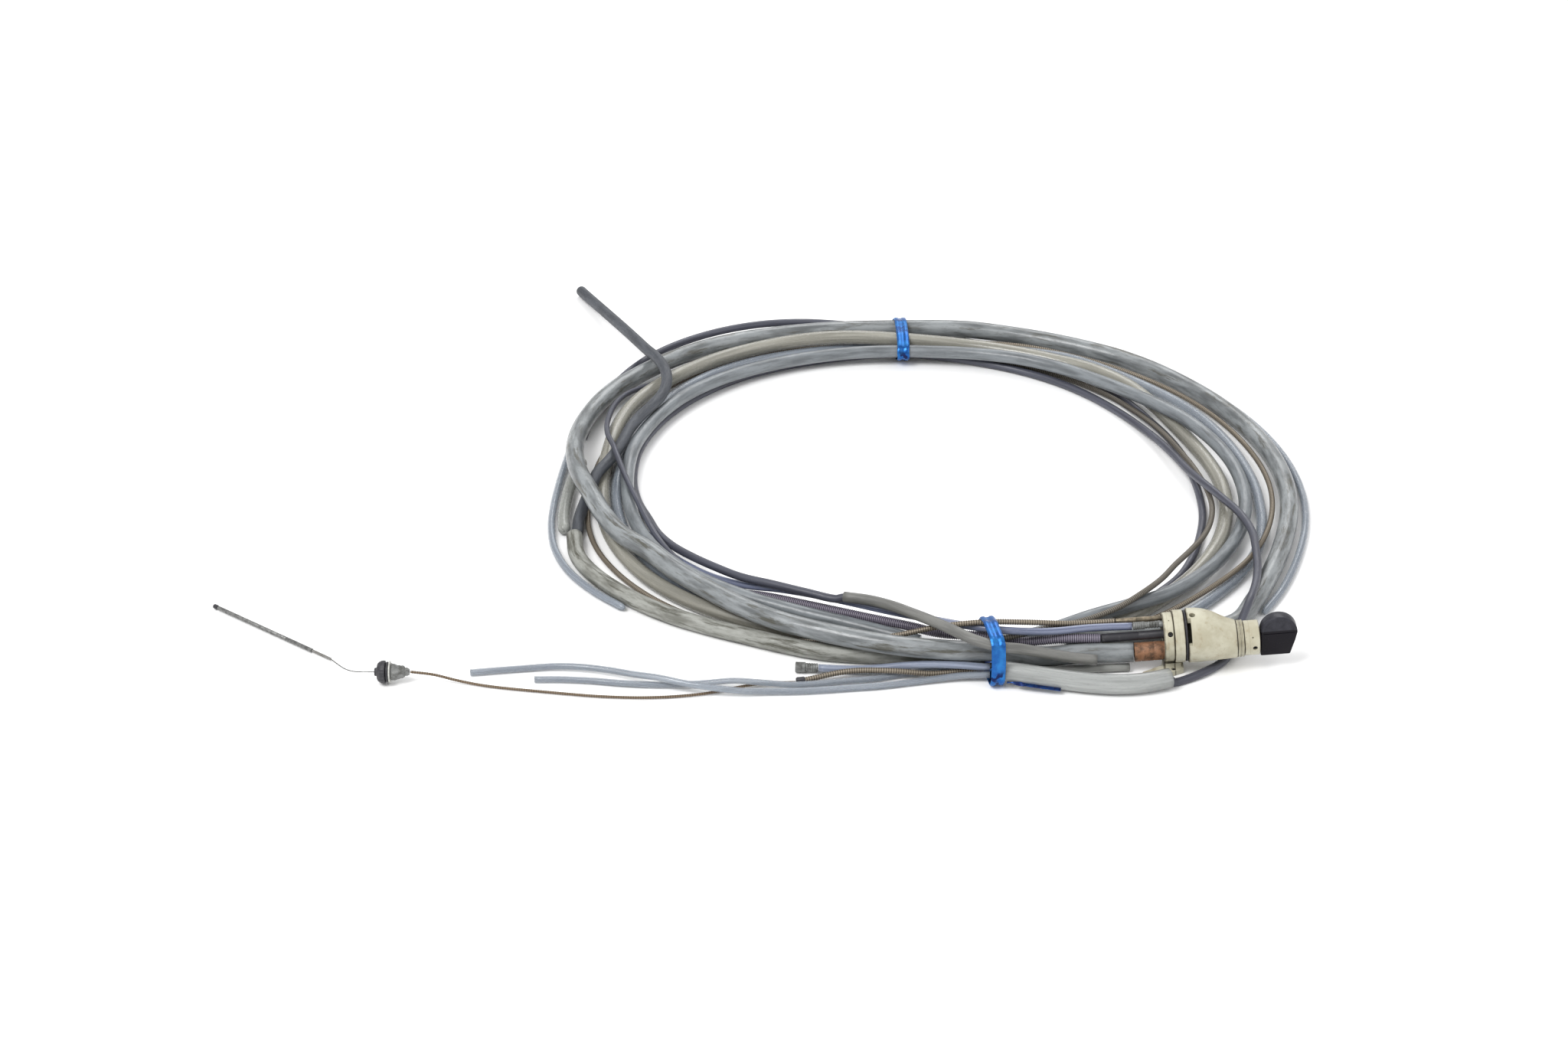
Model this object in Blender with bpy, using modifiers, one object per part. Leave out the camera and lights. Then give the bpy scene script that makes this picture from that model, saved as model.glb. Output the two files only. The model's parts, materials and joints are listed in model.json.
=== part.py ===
"""Remote cable release: cream head with a sprung pull knob, a tied coil of sleeves, conduits and
cables, and a pull-wire end with its rod.  Lengths are in millimetres until a mesh is made."""
import math

import bmesh
import bpy
import numpy as np
from mathutils import Matrix, Vector

for old in list(bpy.data.objects):
    bpy.data.objects.remove(old, do_unlink=True)

MM = 0.001
GAP = 0.3                      # clearance between neighbours
COIL = (-108.0, 179.0)         # centre of the coil on the floor
HEAD_AT = (4.0, 12.0, 16.2)    # centre of the rear ring's face
HEAD_PITCH = 5.0               # degrees, cap end up
NECK_DROP = 4.0                # the collar's axis lies this far under the bell's
RING_R = 12.1
CLAMP_R = 13.0
BELL_R = 13.5
COLLAR_R = 8.6
KNOB_R = 9.2
KNOB_DEPTH = 6.6
BUSH_BORE = 1.9                # the knob's rod runs in this radius
FIT_X, FIT_Y, FIT_Z = -366.0, -4.0, 6.1   # far-end fitting, conduit side
TIE_ANGLES = (92.0, 279.0)
TIE_WIDTH = 7.0
TIE_LIFT = 1.9
TAIL_R = 0.7                   # the tie's loose end

parts = bpy.data.collections.new("cable_release")
cutters = bpy.data.collections.new("cutters")
bpy.context.scene.collection.children.link(parts)
bpy.context.scene.collection.children.link(cutters)


# ---------------------------------------------------------------- materials and small helpers
def material(name, colour, rough, metal=0.0):
    mat = bpy.data.materials.new(name)
    mat.use_nodes = True
    shader = mat.node_tree.nodes["Principled BSDF"]
    shader.inputs["Base Color"].default_value = (*colour, 1.0)
    shader.inputs["Roughness"].default_value = rough
    shader.inputs["Metallic"].default_value = metal
    return mat


CREAM = ((0.62, 0.58, 0.46), 0.5, 0.0)
DARK = ((0.03, 0.03, 0.035), 0.6, 0.0)
STEEL = ((0.30, 0.30, 0.29), 0.35, 1.0)
BRASS = ((0.45, 0.33, 0.16), 0.4, 1.0)
MILKY = ((0.42, 0.44, 0.44), 0.45, 0.0)
CLEAR = ((0.70, 0.72, 0.72), 0.2, 0.0)
SLATE = ((0.10, 0.11, 0.15), 0.5, 0.0)
BROWN = ((0.24, 0.21, 0.16), 0.5, 0.0)
BLUE = ((0.02, 0.16, 0.50), 0.3, 0.8)


def finish(obj, look, collection=parts):
    if collection is parts:
        obj.data.materials.clear()
        obj.data.materials.append(material("m_" + obj.name, *look))
    else:
        obj.hide_render = True
        obj.display_type = "WIRE"
    return obj


def solid(name, verts, faces, look, place=None, collection=parts):
    mesh = bpy.data.meshes.new(name)
    mesh.from_pydata([tuple(Vector(v) * MM) for v in verts], [], faces)
    bm = bmesh.new()
    bm.from_mesh(mesh)
    bmesh.ops.remove_doubles(bm, verts=bm.verts, dist=1e-6)
    bmesh.ops.recalc_face_normals(bm, faces=bm.faces)
    bm.to_mesh(mesh)
    bm.free()
    obj = bpy.data.objects.new(name, mesh)
    collection.objects.link(obj)
    if place is not None:
        obj.matrix_world = place
    return finish(obj, look, collection)


def rings(name, profile, look, place, sides=40, collection=parts):
    """A turned body: a closed profile of (along, radius, drop of the centre)."""
    pts = [(p[0], p[1], p[2] if len(p) > 2 else 0.0) for p in profile]
    verts, faces = [], []
    for x, r, drop in pts:
        for k in range(sides):
            a = 2 * math.pi * k / sides
            verts.append((x, r * math.cos(a), r * math.sin(a) - drop))
    n = len(pts)
    for j in range(n):
        jj = (j + 1) % n
        if pts[j][1] == 0 and pts[jj][1] == 0:
            continue
        for k in range(sides):
            kk = (k + 1) % sides
            loop = [j * sides + k, j * sides + kk, jj * sides + kk, jj * sides + k]
            faces.append(loop)
    return solid(name, verts, faces, look, place, collection)


def rod(name, x0, x1, r, look, place, chamfer=0.0, drop=0.0, sides=24, collection=parts):
    c = chamfer
    prof = [(x0, 0.0, drop), (x0, r - c, drop)]
    if c:
        prof += [(x0 + c, r, drop), (x1 - c, r, drop)]
    prof += [(x1, r - c, drop), (x1, 0.0, drop)]
    return rings(name, prof, look, place, sides, collection)


def cut(obj, cutter):
    mod = obj.modifiers.new("cut_" + cutter.name, "BOOLEAN")
    mod.operation = "DIFFERENCE"
    mod.solver = "EXACT"
    mod.object = cutter


def prism(name, outline, z0, z1, look, place=None, collection=parts):
    """An outline in XY carried from z0 to z1."""
    n = len(outline)
    verts = [(x, y, z0) for x, y in outline] + [(x, y, z1) for x, y in outline]
    faces = [list(range(n))[::-1], [n + k for k in range(n)]]
    faces += [[k, (k + 1) % n, n + (k + 1) % n, n + k] for k in range(n)]
    return solid(name, verts, faces, look, place, collection)


HEAD = (
    Matrix.Translation(Vector(HEAD_AT) * MM)
    @ Matrix.Rotation(-math.radians(HEAD_PITCH), 4, "Y")
)


def head_point(s, y, z):
    v = Matrix.Rotation(-math.radians(HEAD_PITCH), 3, "Y") @ Vector((s, y, z))
    return np.array([v.x + HEAD_AT[0], v.y + HEAD_AT[1], v.z + HEAD_AT[2]])


def radial(s, y, z):
    """A frame on the head's skin: local X points out along (y, z)."""
    out = Vector((0, y, z)).normalized()
    side = Vector((1, 0, 0))
    third = out.cross(side)
    basis = Matrix((out, side, third)).transposed().to_4x4()
    return HEAD @ Matrix.Translation(Vector((s, 0, 0)) * MM) @ basis


# ---------------------------------------------------------------- routes of the lines
def ring(theta, r, z):
    a = math.radians(theta)
    return (COIL[0] + r * math.cos(a), COIL[1] + r * math.sin(a), z)


def around(*keys, step=6.0):
    """Keys (degrees, radius, height) carried round the coil by a smooth curve."""
    keys = np.array(keys, float)
    t = np.abs(np.diff(keys[:, 0], prepend=keys[0, 0])).cumsum()
    slope = np.gradient(keys[:, 1:], t, axis=0)
    out = []
    for k in range(len(keys) - 1):
        h = t[k + 1] - t[k]
        n = max(1, round(h / step))
        for i in range(n):
            u = i / n
            a = (1 + 2 * u) * (1 - u) ** 2 * keys[k, 1:] + u * (1 - u) ** 2 * h * slope[k]
            b = u * u * (3 - 2 * u) * keys[k + 1, 1:] + u * u * (u - 1) * h * slope[k + 1]
            angle = keys[k, 0] + (keys[k + 1, 0] - keys[k, 0]) * u
            out.append(ring(angle, *(a + b)))
    out.append(ring(*keys[-1]))
    return out


def smooth(points, spacing):
    """Even points along a smooth curve through the given ones."""
    p = np.array(points, float)
    p = np.vstack([2 * p[0] - p[1], p, 2 * p[-1] - p[-2]])
    dense = []
    for k in range(1, len(p) - 2):
        a, b, c, d = p[k - 1], p[k], p[k + 1], p[k + 2]
        ta, tb, tc = (max(np.linalg.norm(v), 1e-6) ** 0.5 for v in (b - a, c - b, d - c))
        m1 = (c - b) + tb * ((b - a) / ta - (c - a) / (ta + tb))
        m2 = (c - b) + tb * ((d - c) / tc - (d - b) / (tb + tc))
        for i in range(16):
            u = i / 16
            dense.append(
                (2 * u**3 - 3 * u * u + 1) * b + (u**3 - 2 * u * u + u) * m1
                + (3 * u * u - 2 * u**3) * c + (u**3 - u * u) * m2
            )
    dense.append(p[-2])
    dense = np.array(dense)
    run = np.concatenate([[0], np.linalg.norm(np.diff(dense, axis=0), axis=1).cumsum()])
    n = max(2, round(run[-1] / spacing))
    want = np.linspace(0, run[-1], n + 1)
    return np.stack([np.interp(want, run, dense[:, i]) for i in range(3)], axis=1)


COPPER_AT = (-3.8, -5.2)
BOOT_AT = (0.6, 1.5)
CRIMP_AT = (2.6, 6.0)
BRONZE_AT = (6.4, 7.2)


def out_of_head(start, offset, reach=10.0):
    return [head_point(start, *offset), head_point(start - reach, *offset)]


# name: (radius, spacing, weight, points).  A heavier line gives way less.
LINES = {
    "milky_tube": (5.0, 23, 0.25, [
        *out_of_head(-14.8, COPPER_AT, 12), (-41, 11, 8.5), (-62, 11.5, 10.5),
        *around((278, 173, 15), (270, 171, 15.5), (262, 169, 16), (254, 167, 16), (246, 165, 16),
                (238, 163.5, 16), (228, 161, 16), (217, 161, 16), (208, 163, 16),
                (199, 171, 16), (189, 175, 16), (182, 181, 16), (175, 187, 15), (161, 197, 11),
                (149, 203, 9), (130, 204, 8), (115, 198, 8), (90, 188, 8), (64, 192, 8),
                (50, 197, 7), (35, 197, 6), (18, 197, 6), (0, 196, 6), (-16, 194, 6),
                (-26, 195, 6), (-34, 198, 6)),
        (43, 46, 6), (22, 37, 6), (0, 34, 6), (-22, 31, 6), (-45, 28, 7)]),
    "inner_milky_tube": (3.6, 23, 0.6, [
        *around((-78, 159, 12), (-63, 160, 12), (-52, 161, 10), (-44, 163, 8), (-35, 164, 7),
                (-19, 167, 6), (-3, 170, 6), (12, 168, 7), (27, 161, 8), (40, 157, 9),
                (69, 159, 10), (85, 158, 10), (110, 162, 10), (140, 167, 9), (160, 164, 7),
                (176, 160, 6), (190, 158, 7), (205, 158, 9), (218, 156, 11), (234, 151, 12), (250, 149, 12),
                (260, 152, 11), (267, 157, 10))]),
    "stained_sleeve": (4.3, 20, 0.3, [
        *around((194.5, 191, 4.6), (202, 195, 4.6), (208, 193, 4.6), (216, 189, 4.6),
                (224, 184, 4.6), (233, 178, 4.6), (241, 174.5, 4.6), (248, 174, 4.6),
                (255, 173, 4.6), (263, 170, 4.6), (272, 170, 5), (278.6, 172, 6.3))]),
    "grey_hose": (3.1, 13, 0.4, [
        (-306, 429, 3.3), (-290, 394, 9), (-275, 357, 15.5), (-260, 321, 20), (-251, 302, 21),
        (-247, 285, 19), (-249, 270, 16), (-256, 254, 14), (-263, 239, 12), (-269, 219, 10),
        (-276, 196, 8), (-281, 184, 7), (-288, 162, 5), (-291.5, 148, 4.8), (-293, 134.5, 4.6)]),
    "slate_cable": (2.1, 19, 0.5, [
        (7.4, -7.6, 4.1), (18.5, 0.6, 2.5), (30, 13, 2.3), (37, 24, 3), (44, 37, 10), (49, 48, 14),
        *around((-32, 195, 13), (-25, 186, 11), (-17, 177, 10), (-11, 167, 10), (-5, 156, 10),
                (4, 147, 8), (18, 144, 6), (30, 146, 4), (45, 151, 3), (60, 157, 3), (80, 163, 3),
                (100, 167, 3), (125, 170, 3), (150, 167, 3), (165, 163, 3), (180, 156, 3),
                (190, 150, 5), (200, 148, 8), (210, 145, 12), (218, 143, 15), (227, 141, 17),
                (235, 138.5, 19), (243, 138, 20.5), (250.4, 138.5, 21.5))]),
    "slate_cable_2": (2.1, 22, 0.8, [
        *around((-66, 164, 3), (-45, 163, 3), (-33, 162, 3), (-26, 159, 3.5), (-18, 156, 3.5),
                (-6, 153, 3), (2, 151, 3), (16, 152, 3), (33, 155, 3), (42, 160, 3),
                (52, 168, 3), (75, 178, 4), (95, 192, 6), (113, 211, 10), (122, 217, 10),
                (133, 218, 9), (142, 214, 8), (152, 206, 6), (161, 199, 4))]),
    "thin_slate_loop": (1.5, 14, 0.8, [
        *around((112, 200, 2), (125, 200, 2), (135, 196, 3), (141, 192, 6), (147, 192, 9),
                (152, 190, 10), (158, 185, 10), (164, 179, 10), (169, 172, 10), (175, 165, 10),
                (182, 159, 10), (189, 155, 10), (197, 153, 10), (210, 151, 11), (225, 150, 12),
                (238, 150, 12))]),
    "ribbed_conduit": (2.5, 20, 0.5, [
        *out_of_head(-30.4, BOOT_AT, 10), (-56, 15, 14.5), (-74, 17, 15),
        *around((279, 163.5, 17), (274, 159.5, 16.5), (267, 150, 16), (260, 144, 15.5),
                (252, 140, 15), (244, 138.5, 14), (236, 139.5, 13), (228, 144, 10),
                (216, 148, 5), (204, 151, 3.5))]),
    "air_tube": (1.9, 20, 0.5, [
        *out_of_head(-14.6, CRIMP_AT, 12), (-50, 16.5, 19.5), (-74, 17, 19.5),
        *around((279, 163.5, 21.5), (273, 155, 21), (265, 145, 20), (259, 140.5, 19.5),
                (251, 136.5, 19), (243, 135.5, 18), (235, 138, 16.5), (226, 142, 12),
                (208, 148, 8), (196, 151, 5))]),
    "release_conduit": (1.5, 22, 0.8, [
        *out_of_head(-22.6, BRONZE_AT, 12), (-56, 17, 21), (-75, 17, 21),
        *around((268, 161, 18), (258, 162, 10), (240, 167, 4), (215, 178, 3), (195, 182, 2),
                (175, 178, 2), (160, 178, 2), (140, 186, 2), (120, 188, 2), (100, 178, 3),
                (85, 176, 4), (71, 179, 5), (52, 185, 5), (34, 188, 5), (18, 188, 5),
                (1, 188, 5), (-16, 186, 5), (-27, 184, 5), (-39, 179, 5), (-50, 174, 4),
                (-62, 170, 3), (-70, 174, 3), (-78, 178, 3), (-88, 180, 2),
                (-98, 184, 2)),
        (-152, -1.5, 1.8), (-172, -4.4, 1.8)]),
    "brown_conduit": (1.6, 20, 0.7, [
        *around((-84, 168, 17), (-76, 169, 15), (-68, 170, 13), (-60, 169, 11), (-48, 164, 9),
                (-35, 156, 9), (-20, 156, 9), (-8, 155, 9), (3, 152, 9), (14, 150, 8),
                (24, 151, 8), (34, 154, 7), (48, 160, 5), (62, 164, 4), (76, 166, 4),
                (94, 167, 5))]),
    "middle_clear_tube": (3.0, 24, 0.8, [
        *around((-50, 176, 4), (-32, 179, 4), (-21, 182, 4), (-4, 180, 4), (13, 179, 4),
                (32, 179, 4), (47, 175, 4), (65, 172, 4), (90, 170, 5), (110, 176, 4),
                (130, 180, 4), (150, 174, 4), (168, 168, 4), (185, 166, 4), (205, 164, 4),
                (225, 160, 3.6), (238, 157, 3.6))]),
    "outer_clear_tube": (2.0, 24, 0.9, [
        *around((-36, 203, 2.2), (-20, 201, 2.2), (0, 203, 2.2), (20, 204, 2.2), (40, 204, 2.4),
                (60, 203, 4), (80, 199, 5), (100, 202, 5), (118, 211, 5), (133, 214, 5),
                (150, 209, 4), (162, 199, 3), (172, 195, 2.4), (179, 195.5, 2.4),
                (186, 197.5, 2.4), (193, 200.5, 2.4), (199, 201.5, 2.4), (205, 200.5, 2.4),
                (211, 197, 2.4), (217, 193, 2.4))]),
    "wide_clear_sleeve": (3.4, 16, 0.9, [
        *around((169, 187, 3.6), (176, 188.5, 3.6), (183, 190.3, 3.6), (188, 192.3, 3.6),
                (192.6, 194, 3.6))]),
    "pale_tube": (4.0, 24, 0.8, [
        *around((-56, 163, 4.2), (-30, 163, 4.2), (0, 162, 4.2), (20, 160, 4.2), (45, 166, 4.2),
                (70, 166, 4.2), (90, 168, 5), (115, 184, 4.2), (135, 190, 4.2), (150, 189, 4.2),
                (165, 182, 4.2), (180, 177, 4.2), (197, 176, 4.2), (215, 173, 4.2),
                (235, 166, 4.2), (250, 163, 4.2), (262, 163, 4.2))]),
    "grey_sleeve": (2.7, 13, 0.5, [
        *around((251.6, 138.3, 21.5), (259, 140.5, 22.5)), (-118.5, 28.5, 23.5), (-99.5, 10.5, 25),
        (-83.5, -1.5, 24.5), (-65.5, 4.5, 18), (-49, 8, 12.5), (-38, 9, 10), (-29, 9, 9)]),
    "short_grey_sleeve": (2.0, 14, 0.8, [
        (-70, 2, 4), (-55, 4, 3), (-35, 5, 2.3), (-12, 6.5, 2.2)]),
    "clear_sleeve": (5.0, 14, 0.3, [
        (6.2, -8.1, 5.2), (-3, -11.3, 5.2), (-12.2, -13.2, 5.2), (-27, -13.4, 5.2),
        (-41.8, -10.5, 5.2), (-52.9, -8.4, 5.2), (-66, -6, 5.8), (-76, -4, 7)]),
    "clear_tail": (1.7, 14, 0.8, [
        (-337, 2, 1.6), (-316, 5, 1.6), (-297, 7, 1.6), (-285, 6, 1.6), (-273, 3, 1.6),
        (-254, -5, 1.6), (-240, -11, 2.6), (-224, -16, 4.0), (-208, -16.5, 2.6),
        (-190, -15, 1.8), (-172, -14, 1.8), (-154, -11.5, 1.8), (-134, -8.5, 1.8),
        (-117, -4.5, 1.8), (-98, -0.8, 3), (-81, 0, 4)]),
    "short_clear_tail": (1.6, 14, 0.8, [
        (-305, -4, 1.4), (-284, -4, 1.4), (-260, -7, 1.4), (-242, -8, 1.6), (-222, -8, 2.6),
        (-203, -8.5, 4), (-186, -9.5, 2.6), (-172, -9, 1.8), (-154, -6.5, 1.8), (-134, -4, 1.8),
        (-117, -0.5, 1.8), (-98, 3, 3), (-81, 4, 4)]),
    "drain_tube": (1.9, 14, 0.6, [
        (-165.5, 4.8, 2.8), (-151, 3.8, 2.7), (-140, 3.8, 2.4), (-128, 4.2, 2.4),
        (-117, 4.9, 2.6), (-100, 5.4, 4), (-81, 7, 6)]),
    "tail_conduit": (0.75, 11, 0.5, [
        (-176.9, -5.2, 1.6), (-193, -6.4, 1.0), (-211, -12, 1.0), (-223, -16, 1.0),
        (-247, -19, 1.0), (-272, -18, 1.0), (-296, -14.5, 1.0), (-322, -10, 1.0),
        (-337, -6.5, 1.6), (-350, -4.4, 3.6), (-358, -4, 5.3), (FIT_X + 0.4, FIT_Y, FIT_Z)]),
}
# Pairs that meet end to end, and lines that end in the head.
MEET = {
    ("grey_hose", "stained_sleeve"), ("slate_cable", "grey_sleeve"),
    ("slate_cable", "clear_sleeve"), ("release_conduit", "tail_conduit"),
}
HEAD_LINES = ("milky_tube", "ribbed_conduit", "air_tube", "release_conduit")
# Straight stretches that nothing may enter: the bell, the collar and knob, the clip, ferrules.
BLOCKS = {
    "block_bell": (13.9, [head_point(1, 0, 0), head_point(14, 0, 0), head_point(34, 0, 0)]),
    "block_collar": (10.2, [head_point(38, 0, -4), head_point(50, 0, -4), head_point(64, 0, -4)]),
    "block_clip": (2.2, [(-4, 0.5, 0.5), (3, 2, 0.5), (10, 6, 0.5)]),
    "block_copper": (5.2, [head_point(0, *COPPER_AT), head_point(-14, *COPPER_AT)]),
    "block_boot": (2.9, [head_point(0, *BOOT_AT), head_point(-29.5, *BOOT_AT)]),
    "block_crimp": (2.6, [head_point(0, *CRIMP_AT), head_point(-14, *CRIMP_AT)]),
    "block_bronze": (2.0, [head_point(0, *BRONZE_AT), head_point(-22, *BRONZE_AT)]),
    "block_drain_ferrule": (2.9, [(-166.5, 4.8, 2.6), (-177, 6.2, 2.6)]),
}


def closest(p1, q1, p2, q2):
    """Nearest points of many pairs of segments."""
    d1, d2, r = q1 - p1, q2 - p2, p1 - p2
    a = (d1 * d1).sum(1)
    e = (d2 * d2).sum(1)
    f = (d2 * r).sum(1)
    c = (d1 * r).sum(1)
    b = (d1 * d2).sum(1)
    denom = a * e - b * b
    s = np.clip(np.where(denom > 1e-9, (b * f - c * e) / np.maximum(denom, 1e-9), 0.5), 0, 1)
    t = (b * s + f) / e
    tc = np.clip(t, 0, 1)
    s = np.where(t != tc, np.clip((b * tc - c) / a, 0, 1), s)
    return s, tc


def settle(clearance=0.45, rounds=900):
    """Push the lines apart until none touches another, a block or the floor."""
    names, pts, rad, wt, line_of = [], [], [], [], []
    first = []
    for name, (r, spacing, weight, points) in LINES.items():
        p = smooth(points, spacing)
        first.append(sum(len(q) for q in pts))
        w = np.full(len(p), weight)
        if name in HEAD_LINES:
            w[:2] = 0
        if name == "tail_conduit":
            w[-2:] = 0
        if name == "drain_tube":
            w[:2] = 0
        names.append(name)
        pts.append(p)
        rad.append(np.full(len(p), r))
        wt.append(w)
        line_of.append(np.full(len(p), len(names) - 1))
    moving = len(names)
    for name, (r, points) in BLOCKS.items():
        first.append(sum(len(q) for q in pts))
        names.append(name)
        pts.append(np.array(points, float))
        rad.append(np.full(len(points), r))
        wt.append(np.zeros(len(points)))
        line_of.append(np.full(len(points), len(names) - 1))
    P = np.concatenate(pts)
    R = np.concatenate(rad)
    W = np.concatenate(wt)
    L = np.concatenate(line_of)
    home = P.copy()
    seg = np.array([i for i in range(len(P) - 1) if L[i] == L[i + 1]])
    last = np.array([i for i in range(len(P)) if i + 1 == len(P) or L[i + 1] != L[i]])
    ends = set(first) | set(last) | {f + 1 for f in first} | {k - 1 for k in last} | {k - 2 for k in last}
    inner = np.array([i for i in range(1, len(P) - 1) if L[i - 1] == L[i] == L[i + 1]])
    ia, ib = np.triu_indices(len(seg), 1)
    ia, ib = seg[ia], seg[ib]
    la, lb = L[ia], L[ib]
    keep = (la != lb) & ((la < moving) | (lb < moving))
    for one, two in MEET:
        j, k = names.index(one), names.index(two)
        pair = ((la == j) & (lb == k)) | ((la == k) & (lb == j))
        near = np.isin(ia, list(ends)) & np.isin(ib, list(ends))
        keep &= ~(pair & near)
    heads = [names.index(n) for n in HEAD_LINES]
    blocks = np.arange(moving, len(names))
    own = {"milky_tube": "block_copper", "ribbed_conduit": "block_boot",
           "air_tube": "block_crimp", "release_conduit": "block_bronze"}
    start = {names.index(n): first[names.index(n)] for n in HEAD_LINES}
    for h in heads:
        near = ((la == h) & (ia < start[h] + 3)) | ((lb == h) & (ib < start[h] + 3))
        keep &= ~(near & (np.isin(la, blocks) | np.isin(lb, blocks)))
        k = names.index(own[names[h]])
        keep &= ~(((la == h) & (lb == k)) | ((la == k) & (lb == h)))
    j, k = names.index("drain_tube"), names.index("block_drain_ferrule")
    keep &= ~(((la == j) & (lb == k)) | ((la == k) & (lb == j)))
    ia, ib = ia[keep], ib[keep]
    tie_x = [ring(t, 1, 0) for t in TIE_ANGLES]
    tie_dir = [np.array([x - COIL[0], y - COIL[1]]) for x, y, _ in tie_x]
    worst = 0.0
    for it in range(rounds):
        if it % 25 == 0:
            mid = 0.5 * (P[ia] + P[ia + 1]) - 0.5 * (P[ib] + P[ib + 1])
            reach = 0.5 * (np.linalg.norm(P[ia] - P[ia + 1], axis=1)
                           + np.linalg.norm(P[ib] - P[ib + 1], axis=1)) + R[ia] + R[ib] + 5
            near = (mid * mid).sum(1) < reach**2
            a, b = ia[near], ib[near]
        s, t = closest(P[a], P[a + 1], P[b], P[b + 1])
        gap = (P[a] + (P[a + 1] - P[a]) * s[:, None]) - (P[b] + (P[b + 1] - P[b]) * t[:, None])
        dist = np.linalg.norm(gap, axis=1)
        need = R[a] + R[b] + clearance - dist
        hit = need > 0
        worst = need.max()
        push = np.zeros_like(P)
        count = np.zeros(len(P))
        if hit.any():
            ah, bh, sh, th = a[hit], b[hit], s[hit], t[hit]
            n = gap[hit] / np.maximum(dist[hit], 1e-6)[:, None]
            n[dist[hit] < 1e-3] = (0, 0, 1)
            shares = ((ah, 1 - sh, 1), (ah + 1, sh, 1), (bh, 1 - th, -1), (bh + 1, th, -1))
            total = sum(W[i] * k * k for i, k, _ in shares)
            lam = need[hit] / np.maximum(total, 1e-6)
            lam[total < 1e-6] = 0
            for i, k, sign in shares:
                np.add.at(push, i, n * (lam * W[i] * k * sign)[:, None])
                np.add.at(count, i, (k > 0.02).astype(float))
        P += push / np.maximum(count, 1)[:, None] * 1.3
        if it < rounds - 260:
            D = P - home
            soft = 0.25 if it < rounds - 500 else 0.08
            bend = 0.5 * (D[inner - 1] + D[inner + 1]) - D[inner]
            P[inner] += soft * bend * (W[inner] > 0)[:, None]
            P[W > 0, 2] -= 0.01
        floor = R + 0.15
        rel = P[:, :2] - np.array(COIL)
        for d in tie_dir:
            along = rel @ d
            side = np.abs(rel[:, 0] * d[1] - rel[:, 1] * d[0])
            lift = np.clip((26 - side) / 14, 0, 1) * (along > 0)
            floor = np.maximum(floor, R + 0.15 + lift * (TIE_LIFT - 0.15))
        free = (W > 0) & (P[:, 2] < floor)
        P[free, 2] = floor[free]
    print("settled, worst", round(float(worst), 3))
    return {names[k]: P[L == k] for k in range(moving)}


ROUTES = settle()


def tube(name, points, radius, look, sides=8):
    """A round cord along a line: one closed curve object."""
    curve = bpy.data.curves.new(name, "CURVE")
    curve.dimensions = "3D"
    curve.bevel_depth = radius * MM
    curve.bevel_resolution = sides // 2 - 2
    curve.use_fill_caps = True
    curve.render_resolution_u = 0
    spline = curve.splines.new("POLY")
    spline.points.add(len(points) - 1)
    for k, p in enumerate(points):
        spline.points[k].co = (*(float(v) * MM for v in p), 1.0)
    obj = bpy.data.objects.new(name, curve)
    parts.objects.link(obj)
    obj.data.materials.append(material("m_" + name, *look))
    return obj


LOOKS = {
    "milky_tube": MILKY, "inner_milky_tube": MILKY, "stained_sleeve": MILKY,
    "grey_hose": SLATE, "slate_cable": SLATE, "slate_cable_2": SLATE, "thin_slate_loop": SLATE,
    "ribbed_conduit": ((0.08, 0.07, 0.10), 0.5, 0.0), "air_tube": ((0.22, 0.27, 0.38), 0.4, 0.0),
    "release_conduit": BROWN, "brown_conduit": BROWN, "tail_conduit": BROWN,
    "grey_sleeve": ((0.22, 0.23, 0.22), 0.5, 0.0), "short_grey_sleeve": ((0.3, 0.3, 0.28), 0.5, 0.0),
}
for line, route in ROUTES.items():
    tube(line, route, LINES[line][0], LOOKS.get(line, CLEAR), 6 if LINES[line][0] < 1 else 8)

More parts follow.
